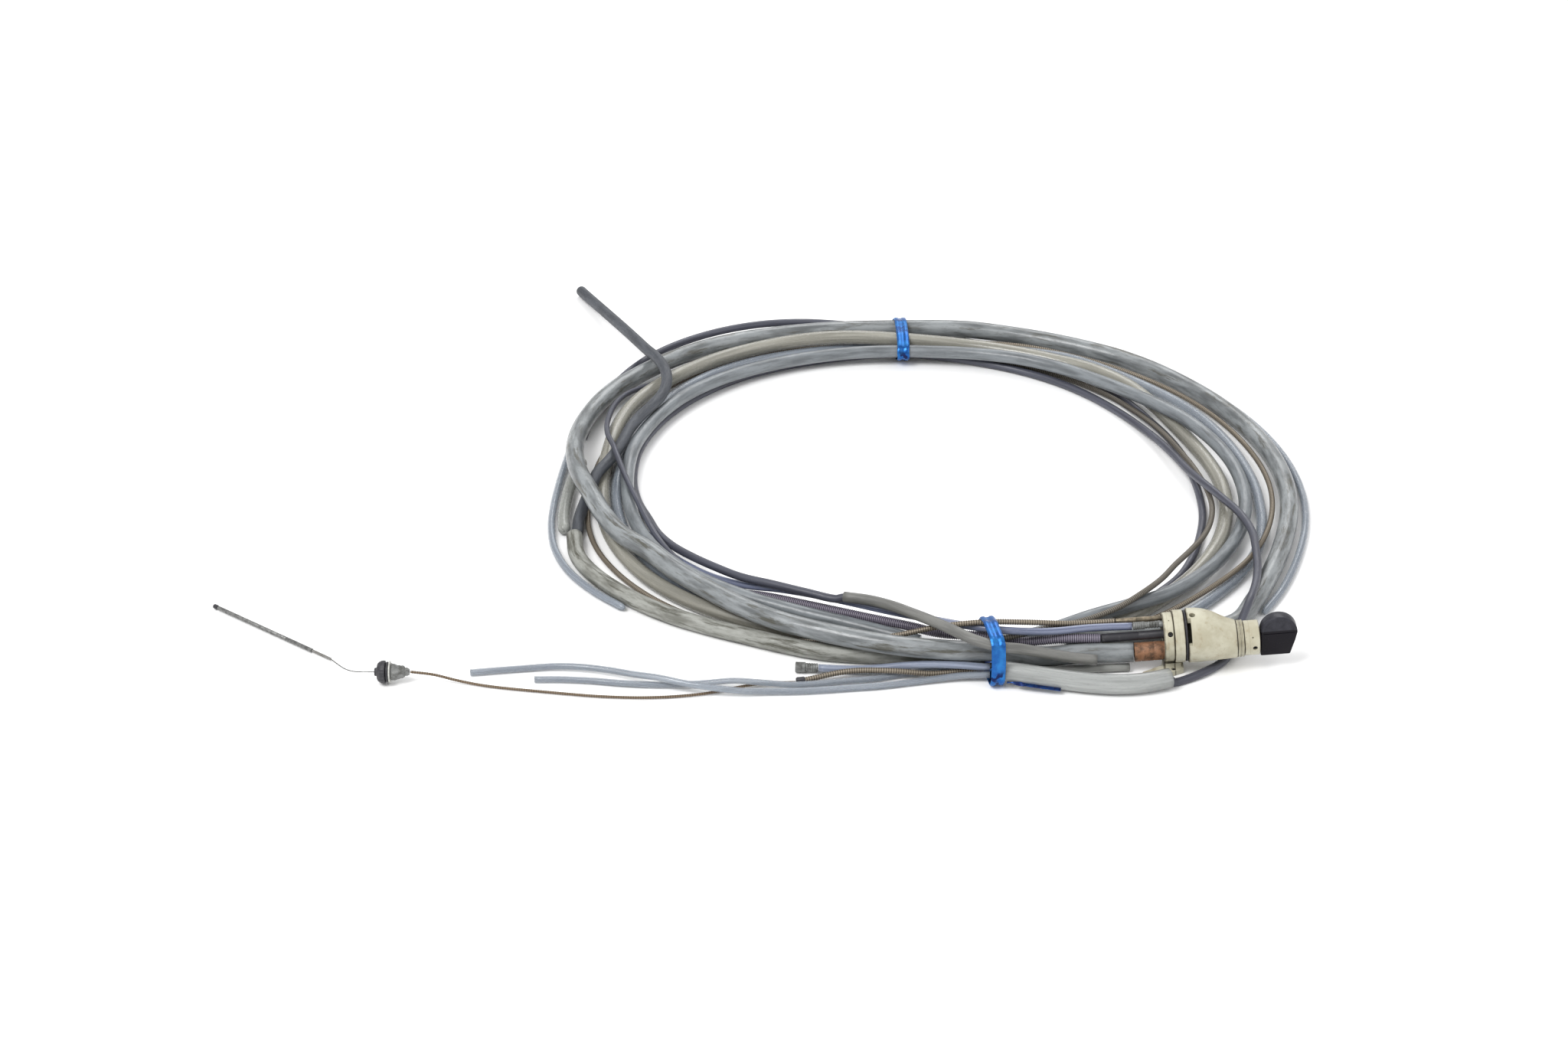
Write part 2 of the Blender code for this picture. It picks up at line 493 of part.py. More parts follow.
# ---------------------------------------------------------------- ties
def tie(name, theta):
    """A foil band round every line that crosses this angle."""
    a = math.radians(theta)
    out = np.array([math.cos(a), math.sin(a)])
    along = np.array([-out[1], out[0]])
    discs = []
    for line, route in ROUTES.items():
        rel = route[:, :2] - np.array(COIL)
        u, v = rel @ out, rel @ along
        for k in range(len(route) - 1):
            if max(u[k], u[k + 1]) < 100 or max(u[k], u[k + 1]) > 260:
                continue
            for shift in (-5, -2.5, 0, 2.5, 5):
                if (v[k] - shift) * (v[k + 1] - shift) <= 0 and v[k] != v[k + 1]:
                    f = (shift - v[k]) / (v[k + 1] - v[k])
                    slant = np.linalg.norm(route[k + 1] - route[k]) / abs(v[k + 1] - v[k])
                    centre = (u[k] + f * (u[k + 1] - u[k]),
                              route[k, 2] + f * (route[k + 1, 2] - route[k, 2]))
                    discs.append((*centre, LINES[line][0] * min(slant, 1.3)))
    discs = np.array(discs)
    angles = np.radians(np.arange(0, 360, 15))
    normals = np.stack([np.cos(angles), np.sin(angles)], 1)
    reach = (discs[:, :2] @ normals.T + discs[:, 2:3]).max(0)

    def loop(extra):
        pts = []
        for k in range(len(angles)):
            kk = (k + 1) % len(angles)
            m = np.array([normals[k], normals[kk]])
            pts.append(np.linalg.solve(m, [reach[k] + extra, reach[kk] + extra]))
        return np.array(pts)

    verts, faces = [], []
    n = len(angles)
    for extra, side in ((0.45, -1), (0.45, 1), (1.35, 1), (1.35, -1)):
        for u, z in loop(extra):
            xy = np.array(COIL) + out * u + along * side * TIE_WIDTH / 2
            verts.append((xy[0], xy[1], z))
    for j in range(4):
        jj = (j + 1) % 4
        for k in range(n):
            kk = (k + 1) % n
            faces.append([j * n + k, j * n + kk, jj * n + kk, jj * n + k])
    lowest = min(v[2] for v in verts)
    print(name, "lowest", round(lowest, 2), "reach", np.round(reach[[0, 6, 12, 18]], 1))
    return solid(name, verts, faces, BLUE)


tie("back_tie", TIE_ANGLES[0])
tie("front_tie", TIE_ANGLES[1])

# ---------------------------------------------------------------- head
rings("rear_ring", [
    (0.0, 11.7), (0.4, RING_R), (4.6, RING_R), (5.0, 11.8), (5.0, 8.0), (1.9, 8.0), (1.9, 11.3),
    (0.0, 11.3)], CREAM, HEAD)
rod("cable_plate", 0.9, 1.6, 11.0, DARK, HEAD, sides=40)
rings("clamp_ring", [
    (5.3, 12.6), (5.7, CLAMP_R), (9.9, CLAMP_R), (10.3, 12.7), (10.3, 8.0), (5.3, 8.0)],
    CREAM, HEAD)
rings("gasket", [(10.6, 12.5), (11.6, 12.5), (11.6, 8.0), (10.6, 8.0)], DARK, HEAD)
shoulder = [(17, 13.4), (20, 13.1), (23, 12.6), (26, 11.9), (29, 11.0), (32, 10.2), (35, 9.6),
            (36, 9.4)]
bell = rings("bell_housing", [
    (11.9, 13.1), (12.3, BELL_R), (14, BELL_R),
    *[(s, r, (BELL_R - r) * NECK_DROP / 4.1) for s, r in shoulder],
    (36, 6.4, NECK_DROP), (33, 6.4, NECK_DROP), (31, 8.0, 2.6), (26, 9.6, 1.4), (20, 10.6, 0.2),
    (11.9, 10.8)], CREAM, HEAD, 48)
neck_profile = [(36.3, 9.2), (37.2, 9.2), (37.4, 8.7), (38.2, 8.7), (38.4, 9.2), (39.3, 9.2),
                (39.3, 5.3), (36.3, 5.3)]
rings("neck_ring", [(s, r, NECK_DROP) for s, r in neck_profile], CREAM, HEAD, 36)
collar_profile = [(39.6, 8.5), (46.8, COLLAR_R), (47.1, 8.3), (47.1, 5.3), (39.6, 5.3)]
collar = rings("front_collar", [(s, r, NECK_DROP) for s, r in collar_profile], CREAM, HEAD, 36)
rings("guide_bush", [(s, r, NECK_DROP) for s, r in
                     [(33.2, 5.9), (35.9, 5.9), (35.9, 5.0), (46.9, 5.0), (46.9, BUSH_BORE), (33.2, BUSH_BORE)]],
      BRASS, HEAD, 28)

# The knob: a D-shaped slab, flat underneath, its right side slanting in.
arc = [(56.9 + KNOB_R * math.cos(math.radians(a)), KNOB_R * math.sin(math.radians(a)) - 1.0)
       for a in range(180, -1, -12)]
knob_outline = [(47.7, -13.2)] + arc + [(64.9, -5.5), (62.2, -13.2)]
knob_place = HEAD @ Matrix.Rotation(math.radians(90), 4, "X")
knob = prism("thumb_knob", knob_outline, -KNOB_DEPTH / 2, KNOB_DEPTH / 2, DARK, knob_place)
soften = knob.modifiers.new("soften", "BEVEL")
soften.width = 0.8 * MM
soften.segments = 2
soften.limit_method = "ANGLE"
soften.angle_limit = math.radians(50)
cut(knob, rod("knob_socket", 40, 54, BUSH_BORE, DARK, HEAD, drop=NECK_DROP, collection=cutters))
rod("plunger_rod", 21.8, 53.4, BUSH_BORE - GAP, STEEL, HEAD, 0.2, NECK_DROP, 20)
rod("pull_disc", 19.6, 21.4, 6.4, STEEL, HEAD, 0.3, NECK_DROP - 0.6, 28)

turns, wire_r, coil_r = 5, 0.45, 3.6
spring_points = []
for k in range(turns * 12 + 1):
    a = 2 * math.pi * k / 12
    s = 22.6 + (32.4 - 22.6) * k / (turns * 12)
    spring_points.append(head_point(s, coil_r * math.cos(a), coil_r * math.sin(a) - NECK_DROP))
tube("return_spring", spring_points, wire_r, STEEL, 6)

for k, (s, y, z, top, r, target) in enumerate((
        (3.2, -0.80, 0.60, RING_R, 1.0, "rear_ring"), (3.2, 0.75, -0.60, RING_R, 1.0, "rear_ring"),
        (44.6, -0.98, -0.12, COLLAR_R, 0.9, "front_collar"),
        (44.6, 0.90, 0.40, COLLAR_R, 0.9, "front_collar"))):
    place = radial(s, y, z)
    if target == "front_collar":
        place = HEAD @ Matrix.Translation(Vector((0, 0, -NECK_DROP)) * MM) @ HEAD.inverted() @ place
    hole = rod(f"screw_hole_{k}", top - 2.6, top + 2, r + GAP, DARK, place, sides=16,
               collection=cutters)
    cut(bpy.data.objects[target], hole)
    kind = "ring_screw" if target == "rear_ring" else "collar_screw"
    rod(f"{kind}_{k % 2 + 1}", top - 2.2, top - 0.6, r, DARK, place, 0.15, sides=12)
port = rod("bell_port_cutter", 11.0, 16, 1.5, DARK, radial(14.6, -0.2, 0.98), sides=16,
           collection=cutters)
cut(bell, port)
slot = prism("bell_slot_cutter", [(10, -14.5), (13.6, -14.5), (13.6, -4.5), (10, -4.5)], 2.0, 13.5,
             DARK, HEAD, cutters)
cut(bell, slot)

# ---------------------------------------------------------------- ferrules at the head
for name, at, prof, look in (
        ("copper_ferrule", COPPER_AT,
         [(-14.4, 0), (-14.4, 4.4), (-14.0, 4.7), (-1, 4.7), (-0.6, 4.5), (0.6, 4.5), (0.6, 0)],
         ((0.30, 0.17, 0.10), 0.5, 0.6)),
        ("crimp_ferrule", CRIMP_AT,
         [(-14.2, 0), (-14.2, 1.9), (-8.4, 2.0), (-8.0, 1.7), (0.6, 1.7), (0.6, 0)], STEEL),
        ("black_boot", BOOT_AT, [(-30, 0), (-30, 2.2), (-24, 2.2), (0.6, 2.2), (0.6, 0)], DARK),
        ("bronze_ferrule", BRONZE_AT,
         [(-22.2, 0), (-22.2, 1.3), (-1, 1.3), (0.6, 1.2), (0.6, 0)], BRASS)):
    rings(name, prof, look, HEAD @ Matrix.Translation(Vector((0, *at)) * MM), 20)

# ---------------------------------------------------------------- clip under the rings
clip = prism("cable_clip", [
    (-6, -1.8), (2.6, -1.8), (14.6, 4.6), (14.8, 15), (5, 15), (4, 8), (-1, 4.4), (-6, 1.4)],
    0.0, 2.6, CREAM)
riser = prism("clip_riser_cutter", [(5.4, 6), (13.4, 6), (13.4, 15), (5.4, 15)], 1.0, 6.0, CREAM,
              None, cutters)
join = clip.modifiers.new("riser", "BOOLEAN")
join.operation = "UNION"
join.solver = "EXACT"
join.object = riser
cut(clip, rod("clip_saddle_cutter", -4, 20, CLAMP_R + 0.35, DARK, HEAD, sides=48,
              collection=cutters))
for k, (x, y) in enumerate(((9.6, 4.3), (4.2, 2.2), (-1.6, 0.4))):
    spot = Matrix.Translation(Vector((x, y, 0)) * MM) @ Matrix.Rotation(-math.pi / 2, 4, "Y")
    cut(clip, rod(f"clip_hole_{k}", 1.0, 4, 1.25, DARK, spot, sides=16, collection=cutters))
    rod(f"clip_screw_{k + 1}", 1.35, 2.35, 0.9, DARK, spot, 0.1, sides=12)

# ---------------------------------------------------------------- far end
FAR = Matrix.Translation(Vector((FIT_X, FIT_Y, FIT_Z)) * MM) @ Matrix.Rotation(math.pi, 4, "Z")
bore = 0.75
rings("crimp_body", [
    (0, 1.5), (1.2, 2.1), (2.2, 2.2), (2.6, 3.0), (5.0, 3.6), (7.6, 4.2), (9.0, 4.4), (9.0, bore),
    (3.0, bore), (3.0, 0), (0, 0)], STEEL, FAR, 24)
rings("fitting_washer", [(9.3, 5.4), (10.1, 5.4), (10.1, bore), (9.3, bore)], MILKY, FAR, 24)
rings("fitting_ring", [(10.4, 5.0), (11.4, 5.0), (11.4, bore), (10.4, bore)], DARK, FAR, 24)
rings("socket_nut", [
    (11.7, 5.3), (12.0, 5.7), (13.6, 5.6), (15.0, 4.9), (15.8, 3.9), (16.1, 2.2), (17.2, 1.9),
    (17.2, bore), (11.7, bore)], DARK, FAR, 32)
wire = [(FIT_X - 8.7, FIT_Y, FIT_Z), (FIT_X - 12, FIT_Y, FIT_Z), (FIT_X - 16, FIT_Y, FIT_Z),
        (FIT_X - 23.6, FIT_Y, FIT_Z), (FIT_X - 27.2, FIT_Y + 1.4, 5.4),
        (FIT_X - 30.4, FIT_Y + 4.4, 4.2), (FIT_X - 33.6, FIT_Y + 8.6, 2.8),
        (FIT_X - 37, FIT_Y + 13.6, 1.8), (FIT_X - 41, FIT_Y + 18.8, 1.45)]
tube("release_wire", wire, 0.3, STEEL, 6)
lean = math.atan2(44.0, -57.0)
ROD = Matrix.Translation(Vector((wire[-1][0], wire[-1][1], 1.45)) * MM) @ Matrix.Rotation(lean, 4, "Z")
rod("tip_sleeve", 0.3, 13.0, 0.75, STEEL, ROD, 0.1, sides=16)
rod("tip_rod", 13.3, 80.0, 1.05, STEEL, ROD, 0.1, sides=16)
rod("tip_cap", 80.3, 83.0, 1.2, DARK, ROD, 0.3, sides=16)

# ---------------------------------------------------------------- line ends
end, prior = ROUTES["drain_tube"][0], ROUTES["drain_tube"][1]
turn = math.atan2(end[1] - prior[1], end[0] - prior[0])
DRAIN = Matrix.Translation(Vector(end) * MM) @ Matrix.Rotation(turn, 4, "Z")
rings("drain_ferrule", [
    (0.3, 0), (0.3, 2.2), (6.0, 2.2), (6.3, 2.0), (6.6, 2.6), (11.4, 2.6), (11.4, 1.2), (8, 1.2),
    (8, 0)], STEEL, DRAIN, 16)
end = ROUTES["release_conduit"][-1]
nxt = ROUTES["tail_conduit"][0]
step = nxt - end
turn = math.atan2(step[1], step[0])
reach = float(np.linalg.norm(step[:2]))
JOIN = Matrix.Translation(Vector((end[0], end[1], 1.8)) * MM) @ Matrix.Rotation(turn, 4, "Z")
rod("conduit_ferrule", 0.3, max(reach - 0.3, 2), 1.65, DARK, JOIN, 0.3, sides=14)

# The tie's loose end, along the front of the clear sleeve.
sleeve = ROUTES["clear_sleeve"][::-1]
beside = LINES["clear_sleeve"][0] + TAIL_R + GAP
tail_path = []
for x, lean in ((-73.4, 28), (-66, 28), (-57, 26), (-47.5, 24)):
    y, z = (float(np.interp(x, sleeve[:, 0], sleeve[:, k])) for k in (1, 2))
    lean = math.radians(lean)
    tail_path.append((x, y - beside * math.cos(lean), z - beside * math.sin(lean)))
tube("tie_tail", tail_path, TAIL_R, BLUE, 6)
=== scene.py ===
"""Remote cable release: the fine shapes and finishes of its head, tied coil and wire end.
Lengths are in millimetres until a mesh is made; the frame is in metres."""
import json
import math

import bmesh
import bpy
import numpy as np
from mathutils import Matrix, Vector

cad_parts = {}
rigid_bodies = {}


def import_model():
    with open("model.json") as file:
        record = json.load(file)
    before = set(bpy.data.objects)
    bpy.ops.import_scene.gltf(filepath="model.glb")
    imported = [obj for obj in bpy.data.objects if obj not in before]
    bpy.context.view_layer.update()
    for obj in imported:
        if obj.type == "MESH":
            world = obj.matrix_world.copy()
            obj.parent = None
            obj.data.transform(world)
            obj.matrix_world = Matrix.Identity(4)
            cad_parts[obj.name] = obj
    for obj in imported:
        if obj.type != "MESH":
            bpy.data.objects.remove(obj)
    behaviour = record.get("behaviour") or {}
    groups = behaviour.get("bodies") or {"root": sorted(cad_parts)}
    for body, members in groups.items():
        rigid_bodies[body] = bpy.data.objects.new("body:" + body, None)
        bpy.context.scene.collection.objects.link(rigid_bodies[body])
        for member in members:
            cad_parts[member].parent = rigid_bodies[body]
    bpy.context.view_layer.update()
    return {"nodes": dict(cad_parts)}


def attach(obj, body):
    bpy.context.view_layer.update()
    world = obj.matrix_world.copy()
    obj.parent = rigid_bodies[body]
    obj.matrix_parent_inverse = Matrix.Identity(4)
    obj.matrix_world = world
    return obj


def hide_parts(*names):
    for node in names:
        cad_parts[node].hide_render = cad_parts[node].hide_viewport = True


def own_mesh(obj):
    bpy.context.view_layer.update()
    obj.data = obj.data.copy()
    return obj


for old in list(bpy.data.objects):
    bpy.data.objects.remove(old, do_unlink=True)

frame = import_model()
NODES = frame["nodes"]

MM = 0.001
COIL = (-108.0, 179.0)         # centre of the coil on the floor
HEAD_AT = (4.0, 12.0, 16.2)    # centre of the rear ring's face
HEAD_PITCH = 5.0               # degrees, cap end up
NECK_DROP = 4.0                # the collar's axis lies this far under the bell's
RING_R = 12.1
CLAMP_R = 13.0
BELL_R = 13.5
COLLAR_R = 8.6
KNOB_R = 9.2
KNOB_DEPTH = 6.6
KNOB_AT = (56.9, -1.0)         # centre of its half circle, along the head and up
KNOB_FOOT = -13.2
BUSH_BORE = 1.9
FIT_X, FIT_Y, FIT_Z = -366.0, -4.0, 6.1  # where the thin conduit enters its end fitting
TIE_ANGLES = {"back_tie": 92.0, "front_tie": 279.0}
TIE_WIDTH = 7.0
TIE_LIFT = 1.9
SCENE = bpy.context.scene


# ---------------------------------------------------------------- nodes written as expressions
class Sock:
    """A node's output that takes part in Python expressions."""

    def __init__(self, owner, socket):
        self.owner, self.socket = owner, socket

    def out(self, name):
        return Sock(self.owner, self.socket.node.outputs[name])

    def math(self, operation, *values):
        inputs = {k: v for k, v in enumerate(values)}
        return self.owner.add("ShaderNodeMath", {"operation": operation}, inputs)

    def __add__(self, other):
        return self.math("ADD", self, other)

    __radd__ = __add__

    def __sub__(self, other):
        return self.math("SUBTRACT", self, other)

    def __rsub__(self, other):
        return self.math("SUBTRACT", other, self)

    def __mul__(self, other):
        return self.math("MULTIPLY", self, other)

    __rmul__ = __mul__

    def __truediv__(self, other):
        return self.math("DIVIDE", self, other)

    def __abs__(self):
        return self.math("ABSOLUTE", self)

    def sine(self):
        return self.math("SINE", self)

    def root(self):
        return self.math("SQRT", self)

    def least(self, other):
        return self.math("MINIMUM", self, other)

    def most(self, other):
        return self.math("MAXIMUM", self, other)


class Tree:
    """A node tree, with one method that adds any node."""

    def __init__(self, tree):
        self.tree = tree

    def fill(self, socket, value):
        if isinstance(value, Sock):
            self.tree.links.new(value.socket, socket)
        elif socket.type == "RGBA":
            socket.default_value = (*value, 1.0)
        else:
            socket.default_value = value

    def add(self, kind, settings=None, inputs=None, out=0):
        node = self.tree.nodes.new(kind)
        for key, value in (settings or {}).items():
            setattr(node, key, value)
        for key, value in (inputs or {}).items():
            self.fill(node.inputs[key], value)
        return Sock(self, node.outputs[out])


class Paint(Tree):
    """A Principled material under construction."""

    def __init__(self, name, colour, rough, metal=0.0, **fixed):
        self.mat = bpy.data.materials.new(name)
        self.mat.use_nodes = True
        super().__init__(self.mat.node_tree)
        self.shader = self.tree.nodes["Principled BSDF"]
        self.put("Base Color", colour)
        self.put("Roughness", rough)
        self.put("Metallic", metal)
        for key, value in fixed.items():
            self.put(key.replace("_", " "), value)

    def put(self, key, value):
        self.fill(self.shader.inputs[key], value)

    def place(self):
        return self.add("ShaderNodeTexCoord", out="Object")

    def attribute(self, name, out):
        return self.add("ShaderNodeAttribute", {"attribute_name": name}, out=out)

    def split(self, vector):
        x = self.add("ShaderNodeSeparateXYZ", inputs={0: vector})
        return x, x.out("Y"), x.out("Z")

    def join(self, x, y, z):
        return self.add("ShaderNodeCombineXYZ", inputs={0: x, 1: y, 2: z})

    def noise(self, vector, scale, detail=3.0, rough=0.55):
        values = {"Vector": vector, "Scale": scale, "Detail": detail, "Roughness": rough}
        return self.add("ShaderNodeTexNoise", {}, values)

    def step(self, value, low, high, top=1.0):
        """0 below low, top above high, smooth between."""
        values = {"Value": value, "From Min": low, "From Max": high, "To Max": top}
        return self.add("ShaderNodeMapRange", {"interpolation_type": "SMOOTHSTEP"}, values)

    def mix(self, factor, a, b):
        return self.add("ShaderNodeMix", {"data_type": "RGBA"}, {0: factor, 6: a, 7: b}, out=2)

    def bump(self, height, distance, strength=1.0):
        values = {"Height": height, "Distance": distance, "Strength": strength}
        self.put("Normal", self.add("ShaderNodeBump", {}, values))

    def strand(self, across, along):
        """A vector that runs with a cord: its section, and its length, each with a scale."""
        x, y, _ = self.split(self.attribute("section", "Vector"))
        run = self.attribute("along", "Fac")
        return self.join(x * across, y * across, run * along)


# ---------------------------------------------------------------- finishes of the lines
def cloudy(name, light, dark, rough, marks=None, streak=18.0, amount=0.8, **fixed):
    """A plastic line: cloudy streaks that run with it, fine mottling, and darker marks."""
    paint = Paint(name, light, rough, **fixed)
    body = paint.noise(paint.strand(0.7, streak), 1.6, 4.0)
    fine = paint.noise(paint.strand(2.2, 170.0), 2.0, 5.0)
    colour = paint.mix(paint.step(body, 0.36, 0.68, amount), light, dark)
    colour = paint.mix(paint.step(fine, 0.5, 0.78, 0.35), colour, dark)
    height = body * 0.3 + fine * 0.25
    if marks:
        tone, start, share = marks
        spot = paint.noise(paint.strand(1.1, 26.0), 1.3, 6.0, 0.7)
        where = paint.step(spot, start, start + 0.13, share)
        colour = paint.mix(where, colour, tone)
        height = height + where * 0.2
    paint.put("Base Color", colour)
    paint.put("Roughness", paint.step(fine, 0.2, 0.8, 0.22) + (rough - 0.1))
    paint.bump(height, 0.0004, 0.5)
    return paint


def hazy(name, light, dark, alpha, rough=0.24, marks=None):
    """A clear line gone hazy: see-through, with whitish streaks."""
    paint = cloudy(name, light, dark, rough, marks, 9.0, 0.7, Coat_Weight=0.3)
    streak = paint.noise(paint.strand(1.3, 14.0), 1.5, 4.0)
    paint.put("Alpha", paint.step(streak, 0.3, 0.75, 0.3) + alpha)
    return paint


def wound(name, light, dark, pitch, rough, metal):
    """A wound or ribbed conduit: painted highlight on pale crests, painted shade in dark grooves,
    worn in places.
    """
    paint = Paint(name, light, rough, metal)
    run = paint.attribute("along", "Fac")
    crest = (run * (2 * math.pi / (pitch * MM))).sine()
    wear = paint.noise(paint.strand(1.0, 22.0), 1.5, 5.0)
    # painted highlight and painted shade: light and dark bands at the rib pitch
    shade = paint.step(crest, -0.5, 0.8)
    colour = paint.mix(shade, light, dark)
    paint.put("Base Color", paint.mix(paint.step(wear, 0.5, 0.75, 0.55), colour, dark))
    paint.put("Roughness", paint.step(wear, 0.3, 0.7, 0.25) + (rough - 0.1))
    return paint


RIB_PITCH = 1.05
WIND_PITCH = 1.2
SOFT = {
    "milky_tube": cloudy("milky_plastic", (0.245, 0.262, 0.27), (0.07, 0.077, 0.08), 0.36,
                         ((0.05, 0.047, 0.032), 0.52, 0.85), 26.0, 0.85, Coat_Weight=0.25),
    "inner_milky_tube": cloudy("grey_milky_plastic", (0.19, 0.208, 0.222), (0.07, 0.078, 0.085),
                               0.4, ((0.07, 0.07, 0.06), 0.6, 0.5), 24.0, Coat_Weight=0.2),
    "stained_sleeve": cloudy("stained_sleeve", (0.30, 0.305, 0.28), (0.10, 0.10, 0.082), 0.55,
                             ((0.045, 0.043, 0.028), 0.50, 0.85), 34.0),
    "grey_hose": cloudy("grey_rubber", (0.068, 0.075, 0.088), (0.03, 0.033, 0.04), 0.55,
                        ((0.13, 0.13, 0.125), 0.64, 0.4), 34.0),
    "slate": cloudy("slate_jacket", (0.07, 0.074, 0.098), (0.028, 0.029, 0.042), 0.4,
                    ((0.13, 0.125, 0.115), 0.64, 0.5), 16.0),
    "grey_sleeve": cloudy("grey_sleeve", (0.18, 0.18, 0.168), (0.09, 0.09, 0.086), 0.5,
                          ((0.05, 0.05, 0.045), 0.62, 0.5), 20.0),
    "short_grey_sleeve": cloudy("pale_grey_sleeve", (0.25, 0.255, 0.24), (0.12, 0.12, 0.115), 0.5,
                                ((0.06, 0.06, 0.055), 0.6, 0.6), 20.0),
    "air_tube": cloudy("blue_grey_tube", (0.19, 0.215, 0.31), (0.05, 0.06, 0.11), 0.26,
                       None, 7.0, 0.9, Coat_Weight=0.4),
    "ribbed_conduit": wound("purple_ribs", (0.25, 0.225, 0.28), (0.028, 0.025, 0.04), RIB_PITCH,
                            0.42, 0.0),
    "release_conduit": wound("bronze_winding", (0.26, 0.22, 0.17), (0.09, 0.076, 0.058),
                             WIND_PITCH, 0.45, 0.4),
    "brown_conduit": wound("brown_winding", (0.19, 0.17, 0.14), (0.06, 0.053, 0.045),
                           WIND_PITCH, 0.5, 0.3),
    "tail_conduit": wound("thin_brown_winding", (0.19, 0.135, 0.085), (0.07, 0.05, 0.032),
                          WIND_PITCH, 0.5, 0.3),
    "clear": hazy("hazy_clear", (0.34, 0.38, 0.43), (0.17, 0.195, 0.235), 0.4),
    "pale_tube": hazy("hazy_beige", (0.38, 0.37, 0.32), (0.20, 0.195, 0.165), 0.6),
    "wide_clear_sleeve": hazy("hazy_grey", (0.40, 0.41, 0.385), (0.24, 0.25, 0.23), 0.5),
    "clear_sleeve": hazy("hazy_white", (0.43, 0.445, 0.435), (0.21, 0.22, 0.215), 0.55, 0.34,
                         ((0.11, 0.11, 0.10), 0.64, 0.5)),
    "drain_tube": hazy("hazy_blue", (0.33, 0.375, 0.48), (0.19, 0.215, 0.29), 0.6),
}


# ---------------------------------------------------------------- finishes of the hard parts
def head_space(paint):
    """Distances along, across and up the head, in millimetres from its rear face."""
    values = {"Vector": paint.place(), "Location": Vector(HEAD_AT) * MM,
              "Rotation": (0, -math.radians(HEAD_PITCH), 0)}
    local = paint.add("ShaderNodeMapping", {"vector_type": "TEXTURE"}, values)
    s, y, z = paint.split(local)
    return local, s * 1000, y * 1000, z * 1000


def aged_cream():
    """Yellowed plastic, with handling stains, specks, and dirt along the joins."""
    paint = Paint("aged_cream", (0.60, 0.57, 0.43), 0.45)
    local, s, _, _ = head_space(paint)
    blotch = paint.noise(local, 75.0, 4.0, 0.6)
    warm = paint.noise(local, 160.0, 5.0, 0.65)
    fleck = paint.noise(local, 900.0, 3.0, 0.6)
    colour = paint.mix(paint.step(blotch, 0.4, 0.66, 0.75), (0.49, 0.47, 0.365),
                       (0.36, 0.33, 0.235))
    colour = paint.mix(paint.step(warm, 0.52, 0.72, 0.6), colour, (0.28, 0.21, 0.115))
    colour = paint.mix(paint.step(fleck, 0.66, 0.76, 0.6), colour, (0.16, 0.14, 0.10))
    grime = None
    for join, reach in ((0.1, 0.9), (5.15, 0.55), (10.45, 0.6), (11.75, 0.9), (36.15, 0.8),
                        (37.8, 0.5), (39.45, 0.6), (47.1, 0.5)):
        near = 1 - abs(s - join) / reach
        grime = near if grime is None else grime.most(near)
    rough_dirt = grime + (warm - 0.5) * 1.8
    colour = paint.mix(paint.step(rough_dirt, 0.0, 0.85, 0.9), colour, (0.11, 0.095, 0.065))
    paint.put("Base Color", colour)
    paint.put("Roughness", paint.step(blotch, 0.3, 0.7, 0.25) + 0.36)
    paint.bump(warm * 0.5 + fleck * 0.3, 0.00025, 0.55)
    return paint


def knob_black():
    """Glossy black: a painted reflection lightens its round upper half, broken by scuffs, and the
    gloss there is rougher.
    """
    paint = Paint("glossy_black", (0.006, 0.0055, 0.008), 0.2, 0.0, Coat_Weight=0.05,
                  Specular_IOR_Level=0.14)
    local, s, _, z = head_space(paint)
    scuff = paint.noise(local, 420.0, 6.0, 0.7)
    # painted reflection: the upper half is lighter, with scuffs mixed in
    painted_reflection_top = paint.step(z, 0.0, 0.9)
    reflection_and_scuffs = paint.mix(paint.step(scuff, 0.35, 0.75, 0.7), (0.036, 0.036, 0.045),
                     (0.016, 0.016, 0.021))
    paint.put("Base Color", paint.mix(painted_reflection_top, (0.005, 0.004, 0.007), reflection_and_scuffs))
    paint.put("Roughness", painted_reflection_top * 0.22 + paint.step(scuff, 0.4, 0.8, 0.2) + 0.14)
    paint.bump(scuff, 0.00008, 0.35)
    return paint


def worn_metal(name, light, dark, rough, metal=0.9, scale=260.0):
    paint = Paint(name, light, rough, metal)
    tarnish = paint.noise(paint.place(), scale, 5.0, 0.65)
    grain = paint.noise(paint.place(), scale * 6, 3.0)
    paint.put("Base Color", paint.mix(paint.step(tarnish, 0.4, 0.66, 0.9), light, dark))
    paint.put("Roughness", paint.step(tarnish, 0.3, 0.7, 0.3) + (rough - 0.1))
    paint.bump(tarnish * 0.5 + grain * 0.4, 0.0001, 0.5)
    return paint


def rubber(name, colour, rough=0.55):
    paint = Paint(name, colour, rough)
    dust = paint.noise(paint.place(), 380.0, 5.0, 0.65)
    pale = tuple(0.09 + c * 1.2 for c in colour)
    paint.put("Base Color", paint.mix(paint.step(dust, 0.5, 0.76, 0.45), colour, pale))
    paint.put("Roughness", paint.step(dust, 0.3, 0.7, 0.2) + (rough - 0.1))
    paint.bump(dust, 0.00012, 0.5)
    return paint


